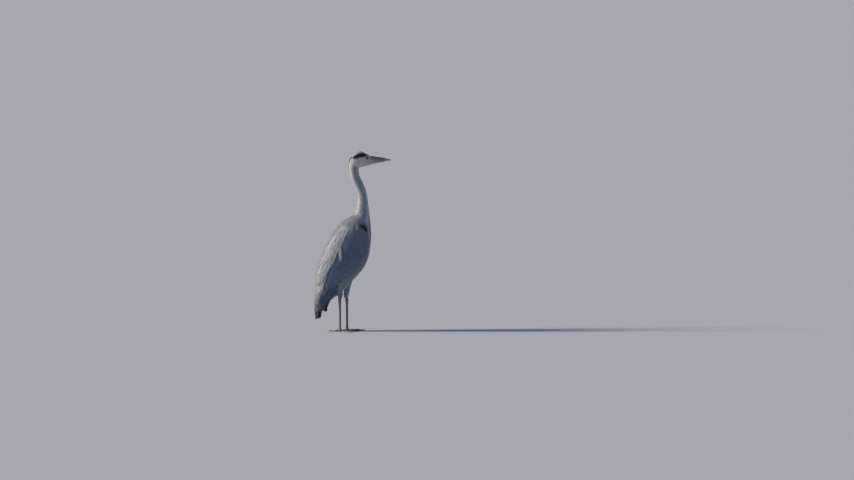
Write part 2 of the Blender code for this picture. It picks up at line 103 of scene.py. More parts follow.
TAIL_SECTIONS = (
    (-0.1905, 0.203, -0.0700, 0.187, 0.0350, 0.0),
    (-0.1915, 0.176, -0.1060, 0.160, 0.0300, 0.0),
    (-0.1925, 0.145, -0.1320, 0.137, 0.0260, 0.0),
    (-0.1920, 0.112, -0.1500, 0.110, 0.0245, 0.0),
    (-0.1900, 0.082, -0.1560, 0.080, 0.0240, 0.0),
    (-0.1885, 0.064, -0.1570, 0.063, 0.0215, 0.0),
)

EYE = Vector((0.0715, 0.0105, 0.8690))
LID_RADIUS = 0.0061  # from the middle of the eye to where the feathers of the face begin
EYE_BULGE = 0.0018  # how far the eyeball stands out of the face
BILL_TIP = (0.194, 0.8585)
BILL_GAPE_Z = 0.8595
CULMEN_BASE_X, CHIN_BASE_X = 0.0915, 0.1235
CULMEN_RISE, CHIN_DROP = 0.0185, 0.0150
NOSTRIL = (0.1135, 0.8698)

LEG_X = {"right": -0.0655, "left": -0.0310}
LEG_SIDE = (0.034, 0.029)  # from the middle plane to a leg's line, at the floor and at the top of the thigh
LEG_TOP = 0.2
FOOT_AHEAD = 0.0022  # how far the foot's middle lies ahead of the leg's line
TOE_OUT = 7.0  # degrees that each foot is turned outwards

# Down each leg: x from the leg's line, height, half depth, half width.
THIGH = (
    (0.006, 0.285, 0.0360, 0.0260),
    (0.004, 0.255, 0.0275, 0.0220),
    (0.002, 0.225, 0.0190, 0.0165),
    (0.001, 0.200, 0.0130, 0.0118),
    (0.000, 0.178, 0.0090, 0.0084),
    (0.000, 0.168, 0.0060, 0.0056),
)
SHANK = (
    (0.0000, 0.1900, 0.0054, 0.0050),
    (0.0000, 0.1756, 0.0054, 0.0050),
    (0.0004, 0.1680, 0.0054, 0.0049),
    (0.0008, 0.1610, 0.0066, 0.0061),
    (0.0008, 0.1550, 0.0078, 0.0073),
    (0.0010, 0.1460, 0.0074, 0.0069),
    (0.0014, 0.1330, 0.0055, 0.0047),
    (0.0020, 0.1000, 0.0052, 0.0040),
    (0.0022, 0.0600, 0.0050, 0.0039),
    (0.0022, 0.0300, 0.0052, 0.0045),
    (0.0022, 0.0130, 0.0064, 0.0066),
    (0.0022, 0.0080, 0.0074, 0.0076),
    (0.0022, 0.0035, 0.0078, 0.0079),
    (0.0022, 0.0002, 0.0066, 0.0067),
)
# Each toe: degrees from straight ahead, inwards positive; lengths of its bones; radius at the root; claw.
TOES = {
    "middle": (0.0, (0.032, 0.026, 0.022), 0.0040, 0.014),
    "inner": (30.0, (0.034, 0.027), 0.0038, 0.013),
    "outer": (-31.0, (0.028, 0.018, 0.013, 0.011), 0.0036, 0.012),
    "hind": (176.0, (0.042,), 0.0038, 0.021),
}
TOE_TAPER = 0.72  # a toe's radius at its end, as a share of that at its root

SHIFT_X = sum(corner[0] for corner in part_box("eye_left")) / 2 - EYE.x


# ---------------------------------------------------------------- small helpers

def linear(hex_colour):
    """An sRGB hex colour as linear red, green and blue."""
    parts = [int(hex_colour[k : k + 2], 16) / 255 for k in (1, 3, 5)]
    return tuple(p / 12.92 if p <= 0.04045 else ((p + 0.055) / 1.055) ** 2.4 for p in parts)


def mix(a, b, share):
    return a + (b - a) * share


def ease(low, high, value):
    """0 below low, 1 above high, and a smooth step between. low may be the larger."""
    share = np.clip((value - low) / (high - low), 0, 1)
    return share * share * (3 - 2 * share)


def bell(value, middle, reach):
    """1 at the middle, and falling off on both sides of it."""
    return np.exp(-(((value - middle) / reach) ** 2))


def norm(vectors):
    return np.linalg.norm(vectors, axis=-1)


def plain(name, count):
    """That many rows of one of the paints."""
    return np.tile(paint(name), (count, 1))


def blend(colours, colour, share):
    """colours, an array of them, turned towards one colour or a paint's name by each one's share."""
    target = paint(colour) if isinstance(colour, str) else np.asarray(colour)
    return colours + (target - colours) * share[:, None]


def feed(tree, node, **links):
    """Links what feeds a node's inputs, given by name or, as in _0, by number. A node that feeds another one
    does so from its first output, unless an output is given instead."""
    for key, source in links.items():
        number = key[1:]
        socket = node.inputs[int(number) if number.isdigit() else key.replace("_", " ")]
        tree.links.new(getattr(source, "outputs", (source,))[0], socket)


def varied(colours, spread, rng):
    """The colours, each a little lighter or darker."""
    return colours * rng.normal(1.0, spread, (len(colours), 1))


def add_node(tree, kind, settings=(), **links):
    """Adds a node and feeds it. settings are attributes, or values of inputs by name or number."""
    node = tree.nodes.new("ShaderNode" + kind)
    for key, value in dict(settings).items():
        if hasattr(node, key):
            setattr(node, key, value)
        else:
            node.inputs[int(key) if key.isdigit() else key].default_value = value
    feed(tree, node, **links)
    return node


def make_active(obj):
    for chosen in list(bpy.context.selected_objects):
        chosen.select_set(False)
    if obj:
        obj.select_set(True)
        bpy.context.view_layer.objects.active = obj


@contextmanager
def whole_mesh(obj):
    """Edit mode, with all of the object's mesh selected."""
    make_active(obj)
    bpy.ops.object.mode_set(mode="EDIT")
    bpy.ops.mesh.select_all(action="SELECT")
    yield
    bpy.ops.object.mode_set(mode="OBJECT")


def nearest_of(places):
    """A function that gives the number of the place nearest to a point."""
    tree = kdtree.KDTree(len(places))
    for k, place in enumerate(places):
        tree.insert(place, k)
    tree.balance()
    return lambda point: tree.find(point)[1]


# ---------------------------------------------------------------- the coat's surface

def smooth_rows(rows, t):
    """Rows at each t, a number of rows from the first, on a Catmull-Rom curve through all of them."""
    last = len(rows) - 1
    t = np.clip(t, 0, last)
    i = np.minimum(t.astype(int), last - 1)
    u = (t - i)[..., None]
    p, q, r, s = (rows[np.clip(i + k, 0, last)] for k in (-1, 0, 1, 2))
    return 0.5 * (2 * q + (r - p) * u + (2 * p - 5 * q + 4 * r - s) * u**2 + (3 * q - p - 3 * r + s) * u**3)


class Surface:
    """A surface through sections, read at a section number t and an angle round from the back."""

    def __init__(self, rows, centre=lambda z: 0.0, shift=SHIFT_X):
        self.rows = np.array(rows, float)
        self.centre = centre
        self.shift = shift

    def point(self, t, angle):
        back_x, back_z, belly_x, belly_z, half_width, lean = np.moveaxis(smooth_rows(self.rows, t), -1, 0)
        depth, side = np.cos(angle), np.sin(angle)
        x = (back_x + belly_x) / 2 + (back_x - belly_x) / 2 * depth + self.shift
        z = (back_z + belly_z) / 2 + (back_z - belly_z) / 2 * depth
        return np.stack([x, self.centre(z) + half_width * side * (1 + lean * depth), z], -1)

    def axes(self, t, angle):
        """The outward direction, and the surface's change for each unit of t and of angle."""
        small, last = 0.02, len(self.rows) - 1
        low, high = np.clip(t - small, 0, last), np.clip(t + small, 0, last)
        along = (self.point(high, angle) - self.point(low, angle)) / (high - low)[..., None]
        around = (self.point(t, angle + small) - self.point(t, angle - small)) / (2 * small)
        normal = np.cross(along, around)
        return normal / norm(normal)[..., None], along, around


def table_at(table, t):
    return np.interp(t, range(len(table)), table)


def wing_lower(t):
    """The wing's lower edge in degrees, which turns up to the shoulder round the wrist."""
    upper, lower = table_at(WING_UPPER, t), table_at(WING_LOWER, t)
    past = np.clip((t - WRIST_START) / (WING_TOP - WRIST_START), 0, 1)
    return np.maximum(mix(upper, lower, np.sqrt(1 - past**2)), upper + WING_LEAST)


class WingSurface(Surface):
    """The coat again, but read at a share of the way down each wing: 2 + share on the left, -2 - share on
    the right, so that feathers run along the wing's edges."""

    def angle(self, t, place):
        share = np.abs(place) - 2
        return np.sign(place) * np.radians(mix(table_at(WING_UPPER, t), wing_lower(t), share))

    def point(self, t, place):
        return super().point(t, self.angle(t, place))


def leg_y(z):
    """The distance of a leg's line from the middle plane at this height."""
    return mix(*LEG_SIDE, np.minimum(z / LEG_TOP, 1))


def leg_surface(rows, word, side):
    """A surface round a stretch of leg, from its lowest section up. Its front is at 180 degrees."""
    line = LEG_X[word]
    sections = [(line + x - depth, z, line + x + depth, z, width, 0) for x, z, depth, width in reversed(rows)]
    return Surface(sections, centre=lambda z: side * leg_y(z))


COAT = Surface(SECTIONS)
WING = WingSurface(SECTIONS)
TAIL = Surface(TAIL_SECTIONS[::-1])


def net(sections, rows, degrees, columns, closed=False):
    """The sections and angles of a net of points on a surface. A closed one goes all the way round."""
    t = np.linspace(*sections, rows)
    angle = np.linspace(*np.radians(degrees), columns, endpoint=not closed)
    return np.meshgrid(t, angle, indexing="ij")


def slab_faces(rows, columns):
    """The quads of a closed slab, whose points are a grid and then the same grid again under it."""
    index = np.arange(rows * columns).reshape(rows, columns)
    top = np.stack([index[:-1, :-1], index[1:, :-1], index[1:, 1:], index[:-1, 1:]], -1).reshape(-1, 4)
    rim = np.concatenate([index[0, :-1], index[:-1, -1], index[-1, :0:-1], index[:0:-1, 0]])
    after, below = np.roll(rim, -1), rows * columns
    wall = np.stack([rim, after, after + below, rim + below], -1)
    return np.concatenate([top, top[:, ::-1] + below, wall])


# ---------------------------------------------------------------- meshes

SHARP = radians(50)  # faces that meet at more than this keep their edge
MAT_THICKNESS = 0.0010


def paint_mesh(mesh, tint):
    """Keeps a colour for each point of the mesh."""
    layer = mesh.color_attributes.get("Plumage")
    layer = layer or mesh.color_attributes.new("Plumage", "FLOAT_COLOR", "POINT")
    layer.data.foreach_set("color", np.concatenate([tint, np.ones((len(tint), 1))], 1).ravel())


def paint_points(obj, tints):
    """Gives a modelled piece its colours: tints is a function of its points."""
    paint_mesh(obj.data, tints(np.array([v.co for v in obj.data.vertices])))


def mesh_piece(name, verts, quads, maps=(), tint=None):
    """A mesh object of quads, with its UV maps and its colours, lying at the origin."""
    mesh = bpy.data.meshes.new(name)
    mesh.vertices.add(len(verts))
    mesh.vertices.foreach_set("co", verts.ravel())
    mesh.loops.add(quads.size)
    mesh.loops.foreach_set("vertex_index", quads.ravel().astype(np.int32))
    mesh.polygons.add(len(quads))
    mesh.polygons.foreach_set("loop_start", np.arange(0, quads.size, 4, dtype=np.int32))
    for title, places in dict(maps).items():
        layer = mesh.uv_layers.new(name=title)
        layer.data.foreach_set("uv", places.ravel().astype(np.float32))
    if tint is not None:
        paint_mesh(mesh, tint)
    mesh.update(calc_edges=True)
    mesh.shade_smooth()
    mesh.set_sharp_from_angle(angle=SHARP)
    made = bpy.data.objects.new(name, mesh)
    bpy.context.scene.collection.objects.link(made)
    return made


def apply_all(obj):
    """Puts the object's place, turn and size into its mesh, and points its faces outwards."""
    make_active(obj)
    bpy.ops.object.transform_apply(location=True, rotation=True, scale=True)
    with whole_mesh(obj):
        bpy.ops.mesh.remove_doubles(threshold=1e-6)
        bpy.ops.mesh.normals_make_consistent(inside=False)
    bpy.ops.object.shade_smooth_by_angle(angle=SHARP)


def joined(name, parts):
    """The parts as one piece, each still a closed shell of its own."""
    make_active(parts[0])
    for part in parts:
        part.select_set(True)
    bpy.ops.object.join()
    parts[0].name = parts[0].data.name = name
    return parts[0]


def grow(name, rings, sides, lengthways=False):
    """A closed tube grown ring by ring from a circle, upright or lengthways along x. Each ring gives its
    centre, its half depth or height, and its half width."""
    make_active(None)
    turn = (0, pi / 2, 0) if lengthways else (0, 0, 0)
    centre, deep, wide = rings[0]
    bpy.ops.mesh.primitive_circle_add(
        vertices=sides, radius=1.0, fill_type="NGON", location=(0, 0, 0), rotation=turn
    )
    tube = bpy.context.view_layer.objects.active
    tube.name = tube.data.name = name
    bpy.ops.object.transform_apply()
    stretch = (lambda a, b: (1, b, a)) if lengthways else (lambda a, b: (a, b, 1))
    with whole_mesh(tube):
        bpy.ops.transform.resize(value=stretch(deep, wide), center_override=(0, 0, 0))
        bpy.ops.transform.translate(value=centre)
        for (before, deep_a, wide_a), (after, deep_b, wide_b) in zip(rings, rings[1:]):
            step = [b - a for a, b in zip(before, after)]
            bpy.ops.mesh.extrude_region_move(TRANSFORM_OT_translate={"value": step})
            bpy.ops.transform.resize(value=stretch(deep_b / deep_a, wide_b / wide_a), center_override=after)
        bpy.ops.mesh.select_all(action="SELECT")
        bpy.ops.mesh.normals_make_consistent(inside=False)
    return tube


def bisect_off(obj, point, normal):
    """Cuts away what lies behind a plane, and closes the cut."""
    with whole_mesh(obj):
        bpy.ops.mesh.bisect(plane_co=point, plane_no=normal, clear_inner=True, use_fill=True)


def plates(name, surface, patches, lift, tints):
    """Horny plates on a surface. Each patch gives its upper and lower section and its two angles. The lower
    edge of each stands out by lift, over the upper edge of the next."""
    across, along = 5, 3
    count, ring = len(patches), along * across
    high, low, left, right = np.array(patches).T[..., None, None]
    s, u = np.linspace(0, 1, along)[:, None], np.linspace(0, 1, across)[None]
    t = high + (low - high) * (s + 0 * u)
    angle = left + (right - left) * (u + 0 * s)
    normal, _, _ = surface.axes(t, angle)
    bulge = lift * (0.25 + 0.75 * s**0.7) * (1 - (2 * u - 1) ** 4)
    base = surface.point(t, angle)
    outer = base + normal * bulge[None, ..., None]
    inner = base - normal * lift
    verts = np.stack([outer.reshape(count, ring, 3), inner.reshape(count, ring, 3)], 1).reshape(-1, 3)
    quads = slab_faces(along, across)[None] + 2 * ring * np.arange(count)[:, None, None]
    lit = (1 - (2 * u - 1) ** 6) * np.clip(s * 2.5 + 0.1, 0, 1)  # painted shade: darker at each plate's sides and at its upper edge, under the plate above
    shade = mix(0.55, 1.10, lit.reshape(1, 1, ring, 1)) + np.zeros((count, 2, 1, 1))
    return mesh_piece(name, verts, quads.reshape(-1, 4), tint=tints(verts) * shade.reshape(-1, 1))


def mat(name, surface, patches, height, tint):
    """A thin closed sheet on a surface. patches are grids of sections and of places round the surface."""
    verts, quads = [], []
    for t, place in patches:
        normal, _, _ = surface.axes(t, place)
        base = surface.point(t, place) + normal * height
        shell = slab_faces(*t.shape)
        quads.append((shell if place.flat[0] < place[0, -1] else shell[:, ::-1]) + sum(map(len, verts)))
        verts += [base.reshape(-1, 3), (base - normal * MAT_THICKNESS).reshape(-1, 3)]
    verts, quads = np.concatenate(verts), np.concatenate(quads)
    bake = (verts[quads.ravel()][:, [0, 2]] - verts.min(0)[[0, 2]]) * 0.9
    # Two millimetres from the shaft everywhere, so that no shaft is drawn on it.
    return mesh_piece(name, verts, quads, {"OFBake": bake, "Vane": bake * 0 + 2.0}, plain(tint, len(verts)))


# ---------------------------------------------------------------- feathers

# How wide each kind of feather is along its length, as shares of its width.
SHAPES = {
    "tiny": ((0.0, 0.55), (0.45, 1.0), (0.8, 0.70), (1.0, 0.10)),
    "hair": ((0.0, 0.50), (0.35, 1.0), (0.65, 0.85), (0.86, 0.48), (1.0, 0.06)),
    "soft": ((0.0, 0.40), (0.25, 0.80), (0.5, 1.0), (0.7, 0.94), (0.84, 0.72), (0.94, 0.42), (1.0, 0.08)),
    "round": (
        (0.0, 0.45), (0.22, 0.82), (0.45, 0.98), (0.65, 1.0),
        (0.8, 0.90), (0.9, 0.70), (0.96, 0.46), (1.0, 0.16),
    ),
    "plume": ((0.0, 0.45), (0.22, 0.95), (0.45, 1.0), (0.65, 0.78), (0.82, 0.46), (0.93, 0.22), (1.0, 0.05)),
    "flight": (
        (0.0, 0.50), (0.15, 0.8), (0.35, 1.0), (0.6, 1.0),
        (0.8, 0.92), (0.92, 0.66), (0.97, 0.4), (1.0, 0.1),
    ),
}

ROOT_DEPTH = 0.0035  # how much deeper than the rest of the feather its root end sits, in the skin

Batch = namedtuple("Batch", "surface t angle length width turn root tip shape colour edge")


def tract(surface, start, end, upper, lower, row, step, rng):
    """Roots in staggered rows from section start down to end. upper and lower are the tract's edges in
    degrees, or functions of the section, and row and step are the distances along and round."""
    ts, angles = [], []
    t, odd = start, 0
    while t > end:
        edges = [radians(float(edge(t) if callable(edge) else edge)) for edge in (upper, lower)]
        fine = np.linspace(*edges, 40)
        points = surface.point(np.full(40, t), fine)
        run = np.concatenate([[0], np.cumsum(norm(np.diff(points, axis=0)))])
        count = max(int(run[-1] / step), 1)
        for side in (1, -1):
            marks = (np.arange(count) + (0.25 if odd else 0.75)) / count * run[-1]
            marks = marks + rng.normal(0, 0.12 * step, count)
            angles.append(side * np.interp(marks, run, fine))
            ts.append(np.full(count, t))
        _, along, _ = surface.axes(np.array([t]), np.array([sum(edges) / 2]))
        t -= row / norm(along[0])
        odd = not odd
    t, angle = np.concatenate(ts), np.concatenate(angles)
    _, along, _ = surface.axes(t, angle)
    t = t + rng.normal(0, 0.15 * row, len(t)) / norm(along)
    return np.clip(t, 0.02, len(surface.rows) - 1.02), angle


def batch(surface, place, length, width, shape, tint, rng, root, tip, turn=0.0, edge=0.25, wild=0.07):
    """A batch of like feathers, each a little different. length and width may be one value or an array,
    root and tip are heights over the surface, turn leads away from the lie of the coat, edge is how pale the
    worn rim is, and wild is how much one feather differs from the next."""
    t, angle = place
    count = len(t)
    grown = rng.normal(1.0, wild, count).clip(0.7, 1.3)
    return Batch(
        surface, t, angle,
        length=length * grown,
        width=width * np.sqrt(grown) * np.ones(count),
        turn=turn * np.sign(angle) + rng.normal(0, 0.55 * wild, count),
        root=np.full(count, root),
        tip=tip + rng.normal(0, 0.10, count) * abs(tip - root),
        shape=shape,
        colour=tint,
        edge=mix(tint, np.maximum(tint, paint("plume_silver")), edge),
    )


def vanes(batch, rng):
    """The vertices, the places on the vane in millimetres from the shaft and from the root, and the colours
    of a batch of feathers. Each is a closed sliver with a ridge: left edge, ridge, right edge, underside."""
    shape = np.array(SHAPES[batch.shape])
    count, stations = len(batch.t), len(shape)
    t, angle = batch.t.copy(), batch.angle.copy()
    verts = np.zeros((count, stations, 4, 3))
    tint = np.zeros((count, stations, 4, 3))
    vane = np.zeros((count, stations, 4, 2))
    thickness = 0.00008 + 0.014 * batch.width
    roll = rng.normal(0, 0.05, (count, 1))
    ahead, aside = np.cos(batch.turn), np.sin(batch.turn)
    before = 0.0
    for k, (share, wide) in enumerate(shape):
        _, along, around = batch.surface.axes(t, angle)
        move = batch.length * (share - before)
        before = share
        t = t - move * ahead / norm(along)
        angle = angle + move * aside / norm(around)
        overshoot = np.where(t < 0, t, 0) * norm(along)  # past the last section it runs straight on
        t = np.maximum(t, 0)
        normal, along, around = batch.surface.axes(t, angle)
        lie = -along / norm(along)[:, None] * ahead[:, None] + around / norm(around)[:, None] * aside[:, None]
        side = np.cross(normal, lie)
        half = (batch.width * wide / 2 * rng.normal(1, 0.05, count))[:, None]
        height = (mix(batch.root, batch.tip, share**1.2) - (ROOT_DEPTH if k == 0 else 0))[:, None]
        drop = half**2 / (2 * norm(around)[:, None]) + 0.05 * half
        thick = (thickness * (1 - 0.75 * share))[:, None]
        centre = batch.surface.point(t, angle) + normal * height - lie * overshoot[:, None]
        verts[:, k, 0] = centre - side * half - normal * (drop + roll * half)
        verts[:, k, 1] = centre + normal * thick
        verts[:, k, 2] = centre + side * half - normal * (drop - roll * half)
        verts[:, k, 3] = centre - normal * (thick + drop)
        vane[:, k, 0, 0], vane[:, k, 2, 0] = -1000 * half[:, 0], 1000 * half[:, 0]
        vane[:, k, :, 1] = 1000 * share * batch.length[:, None]
        tint[:, k, 0::2] = mix(batch.colour, batch.edge, 0.25 + 0.75 * share)[:, None]
        tint[:, k, 1::2] = mix(batch.colour, batch.edge, max(share - 0.75, 0) * 2.4)[:, None]
    return verts.reshape(count, -1, 3), vane.reshape(count, -1, 2), tint.reshape(count, -1, 3)


def vane_faces(stations):
    """The quads of one feather and, for each corner, its place in the feather's own patch of the bake map."""
    quads, places = [], []
    for k in range(stations - 1):
        for a in range(4):
            b = (a + 1) % 4
            quads.append((4 * k + a, 4 * k + 4 + a, 4 * k + 4 + b, 4 * k + b))
            u_a, u_b = a / 4, (a + 1) / 4
            v_a, v_b = k / (stations - 1), (k + 1) / (stations - 1)
            places += [(u_a, v_a), (u_a, v_b), (u_b, v_b), (u_b, v_a)]
    last = 4 * (stations - 1)
    quads += [(0, 1, 2, 3), (last + 3, last + 2, last + 1, last)]
    places += [(0.0, 0.0)] * 4 + [(0.0, 1.0)] * 4
    return np.array(quads), np.array(places)


def coat_piece(name, batches, rng, patch=0.003):
    """One mesh of all the feathers in the batches. In the bake map each has a patch at its root's place on
    the surface's own unwrap."""
    low = min(b.t.min() for b in batches)
    high = max(b.t.max() for b in batches) + 1e-6
    parts, start = [], 0
    for batch in batches:
        verts, vane, tint = vanes(batch, rng)
        quads, places = vane_faces(len(SHAPES[batch.shape]))
        count, points = verts.shape[:2]
        roots = np.stack([batch.angle / (2 * pi) % 1.0, (batch.t - low) / (high - low)], -1) * 0.97 + 0.015
        bake = roots[:, None] + (places[None] - 0.5) * patch
        offsets = start + np.arange(count)[:, None, None] * points
        parts.append((verts, tint, quads[None] + offsets, vane[:, quads], bake))
        start += count * points
    columns = [np.concatenate([p.reshape(-1, p.shape[-1]) for p in column]) for column in zip(*parts)]
    verts, tint, quads, vane, bake = columns
    return mesh_piece(name, verts, quads, {"OFBake": bake, "Vane": vane}, tint)


def seen(surface, place, length):
    """Where each feather shows, which is most of the way to its tip."""
    t, angle = place
    _, along, _ = surface.axes(t, angle)
    return np.maximum(t - 0.65 * length / norm(along), 0), angle


def finish(piece, made, *nodes, slot):
    """Gives the piece its material, lets it ride on the one body and stand for the solids named."""
    piece.data.materials.clear()
    piece.data.materials.append(made)
    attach(piece, "root")
    if nodes:
        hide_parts(*nodes)
    return {"FINISHED"}


# ---------------------------------------------------------------- sizes and colours that a user would change

def size(text, default, low, high):
    name, description = text.split(": ")
    return FloatProperty(
        name=name, description=description, default=default, min=low, max=high, unit="LENGTH", precision=4
    )


def colour(text, hex_colour):
    name, description = text.split(": ")
    return FloatVectorProperty(
        name=name, description=description, default=linear(hex_colour), subtype="COLOR", min=0, max=1
    )


class HeronSizes(bpy.types.PropertyGroup):
    """Sizes of the coat, the eyes and the scales."""

    skin_depth: size("Skin depth: how far the skin lies under the coat's surface", 0.0050, 0.002, 0.010)
    head_feather: size("Head feather: length of the small ones near the bill", 0.0055, 0.003, 0.012)
    neck_feather: size("Neck feather: length of the feathers half-way down the neck", 0.0190, 0.008, 0.040)
    body_feather: size("Body feather: length of the breast, belly and flank feathers", 0.0360, 0.015, 0.060)
    breast_plume: size("Breast plume: length of the longest at the foot of the neck", 0.1050, 0.04, 0.16)
    shoulder_plume: size("Shoulder plume: length of the longest scapular plumes", 0.1650, 0.06, 0.24)
    crest_plume: size("Crest plume: length of the two long plumes of the nape", 0.0660, 0.02, 0.20)
    eyeball: size("Eyeball: radius of the eyeball", 0.0078, 0.006, 0.011)
    scute: size("Scute: height of one plate on the front of the shank", 0.0042, 0.002, 0.008)
    seed: IntProperty(name="Seed", description="Start of the random lie of the feathers", default=7, min=0)


class HeronColours(bpy.types.PropertyGroup):
    """Colours of the plumage, eyes, bill and legs."""

    white: colour("White: face, foreneck and belly", "#ECEBE7")
    # The neck's real pale grey, made darker and bluer with painted shade on the sides of the neck.
    neck_grey: colour("Neck grey: sides of the neck", "#B2B7C2")
    nape_grey: colour("Nape grey: back of the neck", "#DDDAD7")
    back_grey: colour("Back grey: mantle and rump", "#999B9F")
    # The coverts' real ash-grey, made darker and bluer with painted shade on the folded wing.
    wing_grey_and_shade: colour("Wing grey: wing coverts", "#5F7389")
    plume_silver: colour("Plume silver: long shoulder plumes", "#B0B1B6")
    # On the tail, slate also stands for painted shade over the tail's own grey.
    slate: colour("Slate: flight feathers and tail", "#434C57")
    black: colour("Black: crown band, crest, shoulder patch, streaks and primaries", "#15161A")
    # The flanks' and thighs' real pale grey, made darker with painted shade under the body.
    belly_grey_and_shade: colour("Belly grey: flanks and thighs", "#7F8C99")
    bill_side: colour("Bill side: cutting edges of the bill", "#A9806C")
    bill_tip: colour("Bill tip: point of the bill", "#C6AE86")
    bill_ridge: colour("Bill ridge: dusky ridge of the bill, and the lids", "#6F5C63")
    bill_root: colour("Bill root: base of the bill", "#9C9596")
    bare_skin: colour("Bare skin: between the eye and the bill", "#A39E7E")
    # A dull dark yellow: the real bright yellow of the iris with painted shade.
    iris: colour("Iris: ring of the eye", "#94732A")
    pupil: colour("Pupil: the pupil, and the rim of the iris", "#0D0D10")
    leg: colour("Leg: scales of the shank and toes", "#7D7778")
    thigh_skin: colour("Shin: bare skin above the ankle", "#A68C80")
    claw: colour("Claw: horn of the claws", "#2B2622")
    floor: colour("Floor: the plain studio floor", "#E0E1DE")


def sizes():
    return bpy.context.scene.heron_sizes


def paint(name):
    return np.array(getattr(bpy.context.scene.heron_colours, name))


def random_for(name):
    """A random source of its own for each piece, the same on every run."""
    return np.random.default_rng([sizes().seed, *name.encode()])


# ---------------------------------------------------------------- markings

# Bands seen from the side: x, z and half of the depth along each.
BARE_SKIN = (
    (0.0770, 0.8672, 0.0012),
    (0.0860, 0.8658, 0.0022),
    (0.0960, 0.8646, 0.0032),
    (0.1060, 0.8636, 0.0040),
)
GAPE_LINE = ((0.0775, 0.8640, 0.0005), (0.0900, 0.8612, 0.0007), (0.1090, 0.8597, 0.0005))
PALE_WRIST = ((0.0240, 0.5450, 0.0030), (0.0255, 0.5360, 0.0055), (0.0220, 0.5200, 0.0040))
CROWN_BAND = (
    (0.0710, 0.8868, 0.0030),
    (0.0610, 0.8838, 0.0074),
    (0.0510, 0.8832, 0.0098),
    (0.0370, 0.8824, 0.0104),
    (0.0260, 0.8788, 0.0094),
    (0.0140, 0.8738, 0.0082),
    (0.0060, 0.8712, 0.0056),
)
SHOULDER_PATCH = (
    (0.0330, 0.5365, 0.0045),
    (0.0430, 0.5345, 0.0080),
    (0.0540, 0.5300, 0.0105),
    (0.0640, 0.5200, 0.0085),
    (0.0715, 0.5070, 0.0035),
)


def in_band(band, x, z, soft):
    """1 inside a band, 0 outside it, with a soft edge."""
    inside = np.zeros(len(x))
    for (xa, za, ra), (xb, zb, rb) in zip(band, band[1:]):
        run = (xb - xa) ** 2 + (zb - za) ** 2
        share = np.clip(((x - xa) * (xb - xa) + (z - za) * (zb - za)) / run, 0, 1)
        away = np.hypot(x - mix(xa, xb, share), z - mix(za, zb, share)) - mix(ra, rb, share)
        inside = np.maximum(inside, ease(soft, -soft, away))
    return inside


def coat_colours(t, angle, rng):
    """The colour of the head, neck and body at places on the coat, which skin and feathers share."""
    place = COAT.point(t, angle)
    x, y, z = place[:, 0] - SHIFT_X, place[:, 1], place[:, 2]
    a = np.degrees(np.abs((angle + pi) % (2 * pi) - pi))  # round from the back, the same on both sides
    # Neck: grey at the sides, made darker and bluer there with painted shade, paler behind, white in front.
    # Then the mantle, the head and the underparts.
    tint = plain("neck_grey", len(t))
    tint = blend(tint, "nape_grey", ease(75, 35, a))
    tint = blend(tint, "white", ease(112, 146, a))
    tint = blend(tint, "back_grey", ease(9.9, 8.8, t) * ease(108, 84, a))
    tint = blend(tint, "white", ease(16.0, 17.6, t))
    # The flanks take the belly grey, which carries painted shade under the body.
    tint = blend(tint, "belly_grey_and_shade", ease(8.8, 7.0, t) * ease(174, 160, a))
    # Two rows of black dashes down the foreneck, and dusky flecks along the belly's edge.
    streaks = bell(a, 161, 7.5) * ease(15.6, 14.4, t) * ease(6.4, 7.2, t)
    tint = blend(tint, "black", 0.9 * (rng.random(len(t)) < 0.62) * (streaks > 0.42))
    flecks = bell(a, 150, 5.0) * ease(6.6, 5.8, t) * ease(2.2, 3.0, t)
    tint = blend(tint, "black", 0.30 * flecks * (rng.random(len(t)) < 0.5))
    # The black band over each eye leaves the forehead white, and the nape is black under the crest.
    forehead = ease(0.0085, 0.0060, np.abs(y)) * ease(0.000, 0.012, x)
    tint = blend(tint, "black", in_band(CROWN_BAND, x, z, 0.0012) * (1 - forehead))
    tint = blend(tint, "black", ease(24, 20, a) * ease(17.2, 17.4, t) * ease(18.4, 18.2, t))
    tint = blend(tint, "black", in_band(SHOULDER_PATCH, x, z, 0.0015))
    return varied(tint, 0.035, rng)


def wing_colours(t, place, rng):
    """Grey coverts, darkened and blued with painted shade, paler towards the shoulder, with the black patch
    and the pale spot at the wrist.
    """
    spot = WING.point(t, place) - [SHIFT_X, 0, 0]
    tint = blend(plain("wing_grey_and_shade", len(t)), "back_grey", 0.6 * ease(4.8, 7.6, t))
    tint = blend(tint, "black", in_band(SHOULDER_PATCH, spot[:, 0], spot[:, 2], 0.0020))
    tint = blend(tint, "white", 0.8 * in_band(PALE_WRIST, spot[:, 0], spot[:, 2], 0.0025))
    return varied(tint, 0.05, rng)


# ---------------------------------------------------------------- materials

def material(name):
    """A new material: its tree, its Principled shader and itself."""
    made = bpy.data.materials.new(name)
    made.use_nodes = True
    return made.node_tree, made.node_tree.nodes["Principled BSDF"], made


def set_inputs(shader, **values):
    for key, value in values.items():
        shader.inputs[key.replace("_", " ")].default_value = value


